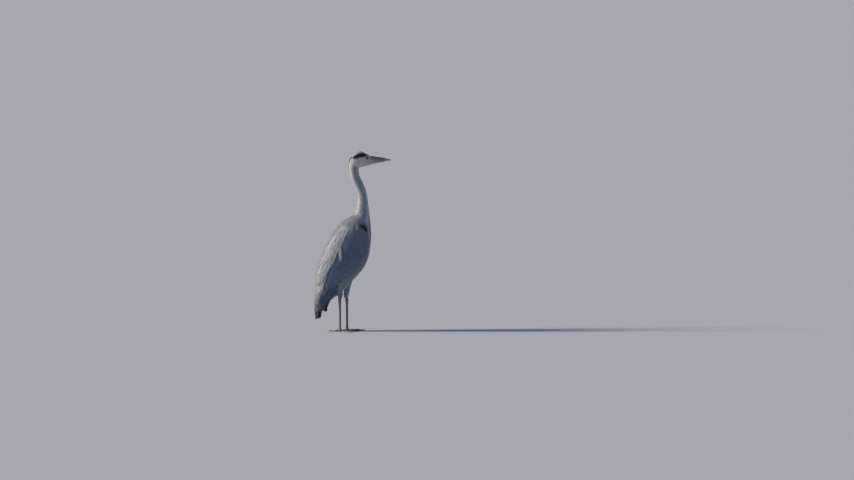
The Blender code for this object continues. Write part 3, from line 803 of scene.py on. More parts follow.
def feather_vanes(name, *, barb, depth, roughness, sheen):
    """Keratin vanes, grown and not polished: matt, each with its shaft and with the slanted barbs that run
    out from it, which gives the eye a fine silky ribbing and a soft bloom at grazing light. Real barbs are
    0.3 to 0.4 mm apart. They are drawn every barb millimetres, as coarse as they need to be to show. A
    mottle about 11 mm across, as of worn and newer feathers, keeps a tract from looking like one sheet."""
    tree, shader, made = material(name)
    set_inputs(shader, Roughness=roughness, Sheen_Weight=sheen, Sheen_Roughness=0.5, Specular_IOR_Level=0.28)
    tint = add_node(tree, "VertexColor", {"layer_name": "Plumage"})
    place = add_node(tree, "UVMap", {"uv_map": "Vane"})
    split = add_node(tree, "SeparateXYZ", Vector=place)
    across = add_node(tree, "Math", {"operation": "ABSOLUTE"}, _0=split)
    slant_by = {"operation": "MULTIPLY_ADD", "1": -BARB_SLANT}
    slant = add_node(tree, "Math", slant_by, _0=across, _2=split.outputs[1])
    wave = add_node(tree, "Math", {"operation": "MULTIPLY", "1": 2 * pi / barb}, _0=slant)
    ripple = add_node(tree, "Math", {"operation": "SINE"}, _0=wave)
    spot = add_node(tree, "TexCoord")
    mottle = add_node(tree, "TexNoise", {"Scale": 90.0, "Detail": 3.0}, Vector=spot.outputs["Object"])
    barbs = {"1": -1.0, "2": 1.0, "3": 1.0 - depth, "4": 1.0}
    light = add_node(tree, "MapRange", barbs, Value=ripple)
    cloud = add_node(tree, "MapRange", {"1": 0.3, "2": 0.7, "3": 0.90, "4": 1.05}, Value=mottle)
    both = add_node(tree, "Math", {"operation": "MULTIPLY"}, _0=light, _1=cloud)
    dark_shaft = {"1": SHAFT[0], "2": SHAFT[1], "3": 0.80, "4": 1.0}
    shaft = add_node(tree, "MapRange", dark_shaft, Value=across)
    shade = add_node(tree, "Math", {"operation": "MULTIPLY"}, _0=both, _1=shaft)
    final = add_node(tree, "VectorMath", {"operation": "SCALE"}, _0=tint, Scale=shade)
    bump = add_node(tree, "Bump", {"Strength": 0.15, "Distance": 0.0002}, Height=ripple)
    feed(tree, shader, Base_Color=final, Normal=bump)
    return made


BARB_SLANT = 1.4  # how far a barb runs towards the tip for each unit away from the shaft
SHAFT = (0.12, 0.35)  # millimetres from the middle, between which the dark shaft ends


def soft_vane():
    """Contour feathers: soft and matt, with a slight bloom. The barbs are drawn 0.8 mm apart."""
    name = "contour_feathers"
    made = bpy.data.materials.get(name)
    return made or feather_vanes(name, barb=0.8, depth=0.06, roughness=0.80, sheen=0.06)


def firm_vane():
    """Flight feathers: stiffer, smoother and a little glossier. On these broad vanes the barbs are drawn
    1.0 mm apart."""
    name = "flight_feathers"
    made = bpy.data.materials.get(name)
    return made or feather_vanes(name, barb=1.0, depth=0.10, roughness=0.60, sheen=0.05)


def bare_surface(name, *, scale, depth, roughness, coat=0.0, mottle=(0.85, 1.1)):
    """Horn, scales or bare skin, coloured by the piece's own attribute. A grain, scale to the metre and depth
    metres deep, breaks up the colour and the gloss, so that it looks grown and worn, not cast."""
    tree, shader, made = material(name)
    set_inputs(shader, Roughness=roughness, Coat_Weight=coat, Coat_Roughness=0.15)
    tint = add_node(tree, "VertexColor", {"layer_name": "Plumage"})
    place = add_node(tree, "TexCoord")
    grain = add_node(tree, "TexNoise", {"Scale": scale, "Detail": 4.0}, Vector=place.outputs["Object"])
    light_by = {"1": 0.3, "2": 0.7, "3": mottle[0], "4": mottle[1]}
    light = add_node(tree, "MapRange", light_by, Value=grain)
    final = add_node(tree, "VectorMath", {"operation": "SCALE"}, _0=tint, Scale=light)
    rough_by = {"1": 0.3, "2": 0.7, "3": roughness - 0.08, "4": roughness + 0.08}
    rough = add_node(tree, "MapRange", rough_by, Value=grain)
    bump = add_node(tree, "Bump", {"Strength": 0.4, "Distance": depth}, Height=grain)
    feed(tree, shader, Base_Color=final, Roughness=rough, Normal=bump)
    return made


# ---------------------------------------------------------------- the pieces

class HeronPiece:
    """What the operators share."""

    bl_options = {"REGISTER", "UNDO"}

    def dress(self, name, groups, rng, *nodes, slot, patch=0.003):
        """One coat piece of contour feathers from the groups."""
        return finish(coat_piece(name, groups, rng, patch), soft_vane(), *nodes, slot=slot)


class HERON_OT_skin(HeronPiece, bpy.types.Operator):
    """One skin for the body, neck, head and thighs, under their surfaces by the coat's depth"""

    bl_idname = "heron.skin"
    bl_label = "Skin"
    flesh = ("trunk", "neck_lower", "neck_middle", "neck_upper", "head", "thigh_left", "thigh_right")
    voxel = 0.0028  # the size to which the parts are melted together
    smoothing = 6

    def execute(self, context):
        thighs = [self.tube(leg_surface(THIGH, word, side), (0.5, 4.9), 40, 0.45) for side, word in SIDES]
        skin = joined("skin", [self.tube(COAT, (1.75, FEATHER_LINE), 200, 1.0), *thighs])
        with whole_mesh(skin):
            bpy.ops.mesh.fill_holes(sides=0)
            bpy.ops.mesh.normals_make_consistent(inside=False)
        melt = skin.modifiers.new("melt", "REMESH")
        melt.mode = "VOXEL"
        melt.voxel_size = self.voxel
        melt.use_smooth_shade = True
        bpy.ops.object.modifier_apply(modifier="melt")
        even = skin.modifiers.new("even", "SMOOTH")
        even.factor = 0.5
        even.iterations = self.smoothing
        bpy.ops.object.modifier_apply(modifier="even")
        self.colour(skin)
        with whole_mesh(skin):
            bpy.ops.uv.smart_project(angle_limit=radians(66), island_margin=0.002)
        skin.data.uv_layers[0].name = "OFBake"
        # Bare skin, thin and finely wrinkled every 1.4 mm: dull, and a little uneven in tone.
        made = bare_surface("heron_skin", scale=700.0, depth=0.0002, roughness=0.75)
        return finish(skin, made, *self.flesh, slot="belly")

    def tube(self, surface, sections, rows, share):
        """A surface drawn in by a share of the coat's depth, which is less on the head."""
        columns = 80
        t, angle = net(sections, rows, (-180, 180), columns, closed=True)
        place = surface.point(t, angle)
        depth = sizes().skin_depth * share * mix(0.35, 1.0, ease(0.86, 0.60, place[..., 2]))
        place = place - surface.axes(t, angle)[0] * depth[..., None]
        index = np.arange(rows * columns).reshape(rows, columns)
        after = np.roll(index, -1, 1)
        quads = np.stack([index[:-1], after[:-1], after[1:], index[1:]], -1).reshape(-1, 4)
        return mesh_piece("skin_part", place.reshape(-1, 3), quads)

    def colour(self, skin):
        """Each point takes the coat's colour at the nearest place on it."""
        t, angle = (grid.ravel() for grid in net((1.2, FEATHER_LINE), 160, (-180, 180), 72, closed=True))
        nearest = nearest_of(COAT.point(t, angle))
        tint = coat_colours(t, angle, random_for("skin")).clip(0, 1)
        paint_mesh(skin.data, tint[[nearest(v.co) for v in skin.data.vertices]])


class HERON_OT_head(HeronPiece, bpy.types.Operator):
    """The smallest feathers: forehead, crown, cheeks and throat, round the eyes and the bare skin"""

    bl_idname = "heron.head_feathers"
    bl_label = "Head feathers"
    shortest = 0.0014

    def execute(self, context):
        rng = random_for("head")
        place = tract(COAT, 22.95, 16.2, 0, 180, row=0.0021, step=0.00145, rng=rng)
        spot = COAT.point(*place) - [SHIFT_X, 0, 0]
        bare = in_band(BARE_SKIN, spot[:, 0], spot[:, 2], 0.0001) > 0.5
        length = np.interp(place[0], (16.2, 19, 22.9), (2.2, 1.6, 0.9)) * sizes().head_feather
        room = self.room(place, spot)
        chosen = (room > self.shortest) & ~bare
        place, length = (place[0][chosen], place[1][chosen]), np.minimum(length, room)[chosen]
        tint = coat_colours(*seen(COAT, place, length), rng)
        width = np.maximum(length, 0.004) * 0.26
        head = batch(COAT, place, length, width, "tiny", tint, rng, root=-0.0016, tip=0.0001, wild=0.10)
        return self.dress("head_feathers", [head], rng, slot="crown")

    def room(self, place, spot):
        """How long a feather may be at each place before its tip would lie on an eyelid."""
        step = COAT.point(place[0] - 0.05, place[1]) - [SHIFT_X, 0, 0] - spot
        lie = step[:, [0, 2]] / norm(step[:, [0, 2]])[:, None]
        to_eye = np.array([EYE.x, EYE.z]) - spot[:, [0, 2]]
        ahead = (to_eye * lie).sum(1)
        aside = np.sqrt(np.maximum((to_eye**2).sum(1) - ahead**2, 0))
        half = np.sqrt(np.maximum(LID_RADIUS**2 - aside**2, 0))
        reach = np.where((aside < LID_RADIUS) & (ahead > -half), ahead - half, 1.0)
        return np.where(np.hypot(*to_eye.T) < LID_RADIUS, 0.0, reach)


class HERON_OT_crest(HeronPiece, bpy.types.Operator):
    """The black plumes of the nape: two long ones and the shorter ones over their roots"""

    bl_idname = "heron.crest"
    bl_label = "Crest"

    def execute(self, context):
        rng = random_for("crest")
        longest = sizes().crest_plume
        long_place = np.full(2, 18.15), np.radians([22.0, -22.0])
        degrees = np.concatenate([np.linspace(-26, 26, 8), np.linspace(-20, 20, 6)])
        short_place = np.repeat([18.2, 17.6], [8, 6]), np.radians(degrees)
        groups = [
            batch(COAT, long_place, longest, 0.0046, "plume", plain("black", 2), rng,
                  root=0.0004, tip=0.0022, turn=-0.16, edge=0.03, wild=0.02),
            batch(COAT, short_place, longest * 0.40, 0.0036, "plume", plain("black", 14), rng,
                  root=0.0002, tip=0.0016, turn=-0.14, edge=0.05, wild=0.12),
        ]
        return self.dress("crest_plumes", groups, rng, "crest_left", "crest_right", slot="crest", patch=0.02)


class HERON_OT_neck(HeronPiece, bpy.types.Operator):
    """Soft narrow feathers down the whole neck, white with rows of black streaks in front"""

    bl_idname = "heron.neck_feathers"
    bl_label = "Neck feathers"
    # Each stretch: first and last section, distance of the rows and of the roots in a row, size.
    stretches = {
        "upper": ((16.5, 14.8, 0.0032, 0.0017, 0.85), (14.8, 13.2, 0.0034, 0.0018, 0.95)),
        "lower": ((13.2, 11.4, 0.0037, 0.0020, 1.10), (11.4, 8.9, 0.0050, 0.0029, 1.45)),
    }

    def execute(self, context):
        for word, stretches in self.stretches.items():
            rng = random_for(f"neck_{word}")
            groups = []
            for start, end, row, step, scale in stretches:
                place = tract(COAT, start, end, 0, 180, row, step, rng)
                length, width = sizes().neck_feather * scale, 0.0032 * scale
                tint = coat_colours(*seen(COAT, place, length), rng)
                groups.append(batch(COAT, place, length, width, "hair", tint, rng,
                                    root=-0.0022 * scale, tip=0.0001, wild=0.10))
            self.dress(f"neck_feathers_{word}", groups, rng, slot="neck")
        return {"FINISHED"}


class HERON_OT_breast_plumes(HeronPiece, bpy.types.Operator):
    """Long pointed plumes, white and streaked, that hang from the foot of the neck over the breast"""

    bl_idname = "heron.breast_plumes"
    bl_label = "Breast plumes"

    def execute(self, context):
        rng = random_for("breast_plumes")
        place = tract(COAT, 9.5, 7.0, 152, 180, row=0.0075, step=0.0036, rng=rng)
        share = ease(9.3, 7.2, place[0])
        tint = blend(plain("white", len(share)), "plume_silver", rng.random(len(share)) * 0.9)
        tint = blend(tint, "black", 0.85 * (rng.random(len(share)) < 0.13))
        length = mix(sizes().breast_plume, sizes().breast_plume * 0.75, share)
        length = length * mix(0.55, 1.0, ease(152, 172, np.degrees(np.abs(place[1]))))
        plumes = batch(COAT, place, length, 0.0052, "plume", tint, rng,
                       root=-0.0025, tip=0.0022, turn=0.03, edge=0.3, wild=0.20)
        return self.dress("breast_plumes_dressed", [plumes], rng, "breast_plumes", slot="belly", patch=0.01)


class HERON_OT_body(HeronPiece, bpy.types.Operator):
    """The breast, belly and flanks, and the long feathers under the tail"""

    bl_idname = "heron.body_feathers"
    bl_label = "Body feathers"

    def execute(self, context):
        rng = random_for("body")
        length = sizes().body_feather
        place = tract(COAT, 9.6, 1.45, self.edge, 180, row=0.0062, step=0.0050, rng=rng)
        tint = coat_colours(*seen(COAT, place, length), rng)
        body = batch(COAT, place, length, 0.0098, "soft", tint, rng, root=-0.0030, tip=-0.0003, wild=0.10)
        past_edge = np.degrees(np.abs(place[1])) - wing_lower(place[0])
        over_wing = (past_edge > -7) & (past_edge < 2)
        body = body._replace(root=body.root - 0.0006 * over_wing, tip=body.tip + 0.0016 * over_wing)
        under = tract(TAIL, 4.95, 2.9, 125, 180, row=0.009, step=0.0065, rng=rng)
        tint = varied(plain("white", len(under[0])), 0.03, rng)
        covert = batch(TAIL, under, 0.044, 0.0110, "soft", tint, rng, root=-0.003, tip=0.0002, wild=0.09)
        return self.dress("body_feathers", [body, covert], rng, slot="belly")

    def edge(self, t):
        """Degrees round from the back at which the feathers begin, under the wing's lower edge and further
        under it by the thigh."""
        flank = ease(6.0, 4.5, t) * ease(2.2, 3.4, t)
        thigh = ease(4.3, 3.8, t) * ease(2.2, 3.0, t)
        return wing_lower(t) - mix(1, 7, flank) - 8 * thigh


class HERON_OT_mantle(HeronPiece, bpy.types.Operator):
    """The mantle, the back and the rump"""

    bl_idname = "heron.mantle"
    bl_label = "Mantle and rump"
    # Each stretch: first and last section, edge in degrees, distance of the rows and of the roots, size.
    mantle, back, rump = (
        (9.9, 7.4, 84, 0.0060, 0.0046, 0.85),
        (7.4, 3.6, 40, 0.0085, 0.0062, 1.25),
        (3.6, 1.6, 60, 0.0085, 0.0056, 1.55),
    )

    def execute(self, context):
        rng = random_for("mantle")
        groups = []
        for stretch in (self.mantle, self.back, self.rump):
            start, end, edge, row, step, scale = stretch
            place = tract(
                COAT, start, end, 0, lambda t, edge=edge: edge + 16 * ease(7.9, 8.6, t), row, step, rng
            )
            tint = blend(plain("back_grey", len(place[0])), "nape_grey", ease(8.9, 9.8, place[0]))
            tint = varied(blend(tint, "slate", 0.60 * ease(2.5, 1.8, place[0])), 0.05, rng)
            size = sizes().body_feather * scale
            feathers = batch(COAT, place, size, size * 0.22, "soft", tint, rng,
                             root=-0.0030, tip=-0.0002, edge=0.35, wild=0.08)
            # The back's outer feathers lie lower, under the shoulder plumes.
            sunk = 0.0014 * ease(24, 38, np.degrees(np.abs(place[1]))) * (stretch == self.back)
            groups.append(feathers._replace(root=feathers.root - 0.5 * sunk, tip=feathers.tip - sunk))
        return self.dress("mantle_feathers", groups, rng, slot="back")


class HERON_OT_shoulder_plumes(HeronPiece, bpy.types.Operator):
    """The long silvery scapular plumes that hang over the folded wings"""

    bl_idname = "heron.shoulder_plumes"
    bl_label = "Shoulder plumes"

    def execute(self, context):
        rng = random_for("shoulder_plumes")
        longest = sizes().shoulder_plume
        groups = [
            self.broad(rng),
            self.plumes(longest, rng),
            self.tips((5.60, 5.50, 5.36, 5.50), (62, 64, 66, 67.5), longest * 0.56, 0.42, rng),
            self.tips((3.05, 2.95, 3.00, 2.90, 2.98), (42, 46, 50, 54, 58), longest * 0.46, 0.02, rng),
        ]
        solids = "shoulder_plumes_left", "shoulder_plumes_right"
        return self.dress("shoulder_plumes_dressed", groups, rng, *solids, slot="plume")

    def broad(self, rng):
        """The broad feathers that the plumes lie on."""
        place = tract(
            COAT, 7.9, 3.2, lambda t: table_at(MANTLE_EDGE, t), lambda t: table_at(WING_UPPER, t) - 4,
            row=0.0125, step=0.0072, rng=rng,
        )
        share = ease(7.9, 3.2, place[0])
        tint = blend(plain("back_grey", len(share)), "plume_silver", 0.7 + 0.2 * rng.random(len(share)))
        length = mix(0.060, 0.090, share)
        return batch(COAT, place, length, 0.0125, "soft", tint, rng,
                     root=-0.0052, tip=-0.0024, turn=edge_turn(place, length), edge=0.4, wild=0.10)

    def plumes(self, longest, rng):
        place = tract(
            COAT, 8.0, 3.5, 37, lambda t: table_at(WING_UPPER, t) + 2 - 7 * ease(8.0, 7.0, t),
            row=0.0115, step=0.0062, rng=rng,
        )
        share = ease(8.0, 3.5, place[0])
        tint = blend(plain("plume_silver", len(share)), "white", 0.3 * rng.random(len(share)))
        length = mix(longest * 0.60, longest, np.sin(pi * share.clip(0, 1)))
        made = batch(COAT, place, length, 0.0080, "plume", tint, rng,
                     root=-0.0030, tip=0.0018, turn=edge_turn(place, length), edge=0.5, wild=0.08)
        # The inner roots lie on the mantle, and the first ones go deeper into the shoulder.
        inner = ease(58, 42, np.degrees(np.abs(place[1]))) * ease(7.2, 6.6, place[0])
        return made._replace(root=made.root - 0.0014 * ease(6.6, 7.4, place[0]) + 0.0020 * inner)

    def tips(self, sections, degrees, length, turn, rng):
        """A few plumes of both sides whose white ends stand out over the wing: pale plume tips, whitened
        further as a painted highlight.
        """
        count = len(sections)
        place = np.tile(sections, 2), np.repeat([1.0, -1.0], count) * np.radians(np.tile(degrees, 2))
        made = batch(COAT, place, length, 0.0095, "plume", plain("plume_silver", 2 * count) * 0.8, rng,
                     root=-0.0034, tip=0.0040, turn=turn, wild=0.06)
        return made._replace(edge=plain("white", 2 * count))


def edge_turn(place, length):
    """How far each plume turns from the lie of the coat to keep its distance from the wing's upper edge."""
    t, angle = place
    _, along, around = COAT.axes(t, angle)
    upper, end = table_at(WING_UPPER, t), table_at(WING_UPPER, t - length / norm(along))
    rise = np.radians(end - upper) * norm(around)
    return np.arctan(rise / length) * np.abs(angle) / np.radians(upper)


def wing_row(t, slant, count, rng, low=-0.02, high=1.02):
    """Roots of one row of wing feathers on both sides. The row starts at section t at the wing's upper edge
    and slants forwards to its lower edge."""
    share = mix(low, high, (np.arange(count) + 0.5) / count)
    share = np.concatenate([share + rng.normal(0, 0.12 / count, count) for _ in SIDES])
    side = np.repeat([1, -1], count)
    return t + slant * share + rng.normal(0, 0.02, 2 * count), side * (2 + share)


def wing_patches(top, bottom):
    """Grids over both wings, between two ends that depend on the share of the way across."""
    share = np.linspace(0.01, 0.975, 14)[None]
    t = mix(bottom(share), top(share), np.linspace(0, 1, 34)[:, None])
    return [(t, side * (2 + share) + 0 * t) for side in (1, -1)]


class HERON_OT_coverts(HeronPiece, bpy.types.Operator):
    """The wing coverts, small on the arm and larger in each row towards the flight feathers"""

    bl_idname = "heron.coverts"
    bl_label = "Wing coverts"
    # Each row of great coverts: section at the upper edge, slant, feathers, length and width of one.
    rows = (
        (2.50, 1.95, 13, 0.084, 0.0230),
        (2.92, 1.80, 14, 0.074, 0.0215),
        (3.30, 1.66, 14, 0.064, 0.0200),
        (3.64, 1.54, 15, 0.056, 0.0185),
        (3.95, 1.43, 16, 0.049, 0.0168),
        (4.22, 1.32, 17, 0.043, 0.0152),
        (4.46, 1.22, 18, 0.038, 0.0138),
    )
    small_rows = 32

    def execute(self, context):
        rng = random_for("coverts")
        groups = []
        for t, slant, count, length, width in self.rows:
            groups.append(self.row(wing_row(t, slant, count, rng), length, width, "round", rng))
        for share in np.arange(self.small_rows) / (self.small_rows - 1):
            t, place = wing_row(mix(4.66, 7.95, share), mix(1.14, 0.15, share), int(mix(22, 13, share)), rng)
            length = mix(0.034, 0.021, share)
            groups.append(self.row((t.clip(0.1, WING_TOP + 0.1), place), length, length * 0.36, "soft", rng))
        bases = wing_patches(lambda s: WING_TOP - 0.05 + 0 * s, lambda s: mix(1.6, 3.5, s))
        piece = joined("wing_coverts", [
            coat_piece("wing_coverts", groups, rng),
            mat("covert_bases", WING, bases, height=-0.0046, tint="wing_grey_and_shade"),
        ])
        return finish(piece, soft_vane(), "wing_left", "wing_right", slot="back")

    def row(self, place, length, width, shape, rng):
        """One row of coverts, which lies lower where the shoulder plumes hang over it."""
        tint = wing_colours(*seen(WING, place, length), rng)
        row = batch(WING, place, length, width, shape, tint, rng,
                    root=-0.0030, tip=0.0002, edge=0.22, wild=0.08)
        under = 0.0026 * ease(0.36, 0.14, np.abs(place[1]) - 2)
        return row._replace(root=row.root - 0.4 * under, tip=row.tip - under)


class HERON_OT_flight(HeronPiece, bpy.types.Operator):
    """The folded wing's primaries, black and lowest, then slate secondaries, and grey tertials on top"""

    bl_idname = "heron.flight_feathers"
    bl_label = "Flight feathers"

    def execute(self, context):
        rng = random_for("flight")
        primary, secondary = paint("black") * 1.3, paint("slate")
        # The tertials lie between slate and the wing grey, which carries painted shade.
        tertial = mix(secondary, paint("wing_grey_and_shade"), 0.45)
        layers = (  # root section and slant, count, shares, end section at each share, width, heights, colour
            (2.3, 2.0, 8, 0.50, 0.99, 0.02, 0.05, 0.026, -0.0060, -0.0048, primary),
            (2.1, 1.9, 9, 0.12, 0.97, 0.12, 0.75, 0.030, -0.0048, -0.0030, secondary),
            (1.9, 1.7, 7, 0.02, 0.80, 0.30, 1.30, 0.032, -0.0034, -0.0014, tertial),
        )
        groups = []
        for t, slant, count, low, high, end_a, end_b, width, root, tip, tint in layers:
            place = wing_row(t, slant, count, rng, low, high)
            share = np.abs(place[1]) - 2
            length = self.run(place, mix(end_a, end_b, (share - low) / (high - low)))
            colours = varied(np.tile(tint, (2 * count, 1)), 0.05, rng)
            groups.append(batch(WING, place, length, width, "flight", colours, rng,
                                root=root, tip=tip, edge=0.06, wild=0.015))
        bases = wing_patches(lambda s: mix(2.2, 4.0, s), lambda s: 0.42 - 0.20 * s)
        piece = joined("flight_feathers_dressed", [
            coat_piece("flight_feathers_dressed", groups, rng, patch=0.02),
            mat("flight_bases", WING, bases, height=-0.0066, tint="slate"),
        ])
        return finish(piece, firm_vane(), "flight_feathers_left", "flight_feathers_right", slot="flight")

    def run(self, place, end):
        """The length along the wing from each root to its end section."""
        steps = np.linspace(0, 1, 24)[:, None]
        path = WING.point(mix(place[0][None], end[None], steps), place[1][None] + 0 * steps)
        return norm(np.diff(path, axis=0)).sum(0)


class HERON_OT_tail(HeronPiece, bpy.types.Operator):
    """The closed tail: twelve broad feathers above, ten seen from below, and the coverts over their roots"""

    bl_idname = "heron.tail_feathers"
    bl_label = "Tail"

    def execute(self, context):
        rng = random_for("tail")
        top = np.radians(np.linspace(-84, 84, 12))
        low = np.radians(np.linspace(102, 258, 10))
        low = np.where(low > pi, low - 2 * pi, low)
        groups = []
        for angle, reach in ((top, 0.128 + 0.004 * np.cos(top)), (low, 0.132 - 0.006 * np.cos(low))):
            count = len(angle)
            # Slate darkened further: the tail's grey with painted shade.
            tint = varied(plain("slate", count) * 0.85, 0.04, rng)
            length = reach + rng.normal(0, 0.001, count)
            # The middle feathers lie over the outer ones.
            order = -0.0022 + 0.0016 * np.abs(np.cos(angle))
            feathers = batch(TAIL, (np.full(count, 4.5), angle), length, 0.023, "flight", tint, rng,
                             root=-0.0035, tip=-0.0010, edge=0.0, wild=0.01)
            groups.append(feathers._replace(root=order - 0.0012, tip=order, edge=tint * 0.9))
        cover = tract(TAIL, 4.9, 3.3, 0, 92, row=0.013, step=0.010, rng=rng)
        # The coverts turn from back grey to slate towards the tail's end: painted shade over their grey.
        tint = blend(plain("back_grey", len(cover[0])), "slate", mix(0.55, 1.0, ease(4.6, 3.8, cover[0])))
        tint = varied(tint, 0.05, rng)
        groups.append(batch(TAIL, cover, 0.046, 0.0165, "round", tint, rng,
                            root=-0.003, tip=0.0002, edge=0.35))
        piece = coat_piece("tail_feathers", groups, rng, patch=0.02)
        return finish(piece, firm_vane(), "tail", slot="back")


class HERON_OT_thighs(HeronPiece, bpy.types.Operator):
    """The short soft feathers of the thighs, which end a little above the ankles"""

    bl_idname = "heron.thigh_feathers"
    bl_label = "Thigh feathers"

    def execute(self, context):
        rng = random_for("thighs")
        groups = []
        for side, word in SIDES:
            surface = leg_surface(THIGH, word, side)
            place = tract(surface, 4.7, 0.85, 0, 180, row=0.0042, step=0.0028, rng=rng)
            t, angle = place
            # The belly grey with its painted shade, with a little white.
            tint = blend(plain("belly_grey_and_shade", len(t)), "white", 0.15 * rng.random(len(t)))
            length = mix(0.0155, 0.032, ease(0.8, 4.7, t))
            made = batch(surface, place, length, length * 0.22, "hair", tint, rng,
                         root=-0.0022, tip=0.0001, wild=0.10)
            # They sink into the body's coat at the top, and stand off more on the inner side lower down.
            sunk = 0.0025 * ease(4.1, 4.8, t)
            shaggy = mix(0.0012, 0.0062, 0.5 + 0.5 * side * np.cos(angle)) * ease(3.3, 1.9, t)
            root, tip = made.root - sunk + 0.4 * shaggy, made.tip - 0.8 * sunk + shaggy
            groups.append(made._replace(root=root, tip=tip))
        return self.dress("thigh_feathers", groups, rng, slot="belly")


def set_on_foot(part, degrees, side, word):
    """Turns a part that lies along x to its toe's heading, and moves it to its foot."""
    part.rotation_euler.z = radians(side * (TOE_OUT - degrees))
    part.location = (LEG_X[word] + FOOT_AHEAD + SHIFT_X, side * leg_y(0.01), 0)
    make_active(part)
    bpy.ops.object.transform_apply()


class HERON_OT_legs(HeronPiece, bpy.types.Operator):
    """The bare shins, shanks and feet: broad plates in front and above, small scales round the rest"""

    bl_idname = "heron.legs"
    bl_label = "Legs and feet"

    def execute(self, context):
        parts = []
        for side, word in SIDES:
            parts += self.shank(side, word)
            for toe in TOES:
                parts += self.toe(toe, side, word)
        legs = joined("legs", parts)
        apply_all(legs)
        bones = ("tibia", "tarsus", "foot_pad", *(f"toe_{toe}" for toe in TOES))
        solids = [f"{name}_{word}" for _, word in SIDES for name in bones]
        # Horny scales, dry and worn: a low sheen, roughened every 1.1 mm, over plates that have real shape.
        horn = bare_surface("leg_scales", scale=900.0, depth=0.00012, roughness=0.50, coat=0.12)
        return finish(legs, horn, *solids, slot="leg")

    def tints(self, places):
        return blend(plain("leg", len(places)), "thigh_skin", ease(0.150, 0.175, places[:, 2]))

    def shank(self, side, word):
        surface = leg_surface(SHANK, word, side)
        last = len(SHANK) - 1
        rings = []
        for t in np.linspace(0, last, 70):
            back, front, flank = (surface.point(np.array([t]), np.array([a]))[0] for a in (0.0, pi, pi / 2))
            centre = (back + front) / 2
            rings.append((tuple(centre), (front[0] - back[0]) / 2, abs(flank[1] - centre[1])))
        tube = grow(f"shank_{word}", rings, sides=20)
        paint_points(tube, self.tints)
        bands, t = [], last - 0.6
        while True:
            _, along, _ = surface.axes(np.array([t]), np.array([pi]))
            step = sizes().scute / norm(along[0])
            if t - 1.3 * step < 0.3:
                break
            # One broad plate in front, and two rounds of small scales beside and behind it.
            bands.append((t, t - step * 1.12, radians(180 - 62), radians(180 + 62)))
            for k, start in enumerate(np.arange(-112, 112, 28)):
                for part in (0, 0.5):
                    high = t - step * (part + 0.25 * (k % 2))
                    bands.append((high, high - step * 0.52, radians(start + 2), radians(start + 27)))
            t -= step
        return [tube, plates(f"scutes_{word}", surface, bands, lift=0.00045, tints=self.tints)]

    def toe(self, toe, side, word):
        degrees, bones, root, _ = TOES[toe]
        length = sum(bones)
        joints = [sum(bones[: k + 1]) for k in range(len(bones) - 1)] + [length - 0.001]
        marks = np.linspace(0.001, length, int(length / 0.0011))
        radius = mix(root, root * TOE_TAPER, marks / length)
        radius = radius + sum(0.0007 * bell(marks, joint, 0.0032) for joint in joints)
        radius = radius * np.sqrt(1 - 0.72 * ease(length - 0.0035, length + 0.0008, marks) ** 2)
        centre = radius * 0.80  # under its own radius, so that the sole is flattened on the floor
        rings = [((x, 0, z), float(r), float(r)) for x, z, r in zip(marks, centre, radius)]
        tube = grow(f"toe_{toe}_{word}_dressed", rings, sides=14, lengthways=True)
        bisect_off(tube, (0, 0, 0.0002), (0, 0, 1))
        surface = Surface([(x, z + r, x, z - r, r, 0) for x, z, r in zip(marks, centre, radius)], shift=0.0)
        to_marks = len(marks) / length
        plate, apart = 0.0026 * to_marks, 0.0023 * to_marks
        starts = np.arange(0.012 * to_marks, len(marks) - 1 - plate, apart)
        tops = [(k, k + plate, radians(-66), radians(66)) for k in starts]
        scutes = plates(f"toe_scutes_{toe}_{word}", surface, tops, lift=0.00036, tints=self.tints)
        paint_points(tube, lambda places: plain("leg", len(places)))
        for part in (tube, scutes):
            set_on_foot(part, degrees, side, word)
        return [tube, scutes]


class HERON_OT_claws(HeronPiece, bpy.types.Operator):
    """Eight narrow curved claws, the hind ones the longest"""

    bl_idname = "heron.claws"
    bl_label = "Claws"

    def execute(self, context):
        claws = joined("claws", [self.claw(toe, side, word) for side, word in SIDES for toe in TOES])
        apply_all(claws)
        paint_points(claws, lambda places: plain("claw", len(places)))
        solids = [f"claw_{toe}_{word}" for toe in TOES for _, word in SIDES]
        # Claw horn, hard and polished by use: a tight gloss, broken up by fine wear 0.7 mm apart.
        horn = bare_surface("claw_horn", scale=1500.0, depth=0.00004, roughness=0.32, coat=0.3)
        return finish(claws, horn, *solids, slot="claw")

    def claw(self, toe, side, word):
        degrees, bones, root, reach = TOES[toe]
        radius = (root * TOE_TAPER + 0.0006) * 0.80
        rings = []
        for share in np.linspace(-0.08, 1, 16):
            ahead = max(share, 0.0)
            z = radius * 1.12 + 0.0012 * sin(pi * ahead) - radius * 0.72 * ahead**2
            thick = radius * (1 - 0.90 * ahead**1.15)
            rings.append(((sum(bones) + reach * share, 0, z), thick, thick * 0.78))
        claw = grow(f"claw_{toe}_{word}_dressed", rings, sides=12, lengthways=True)
        set_on_foot(claw, degrees, side, word)
        return claw


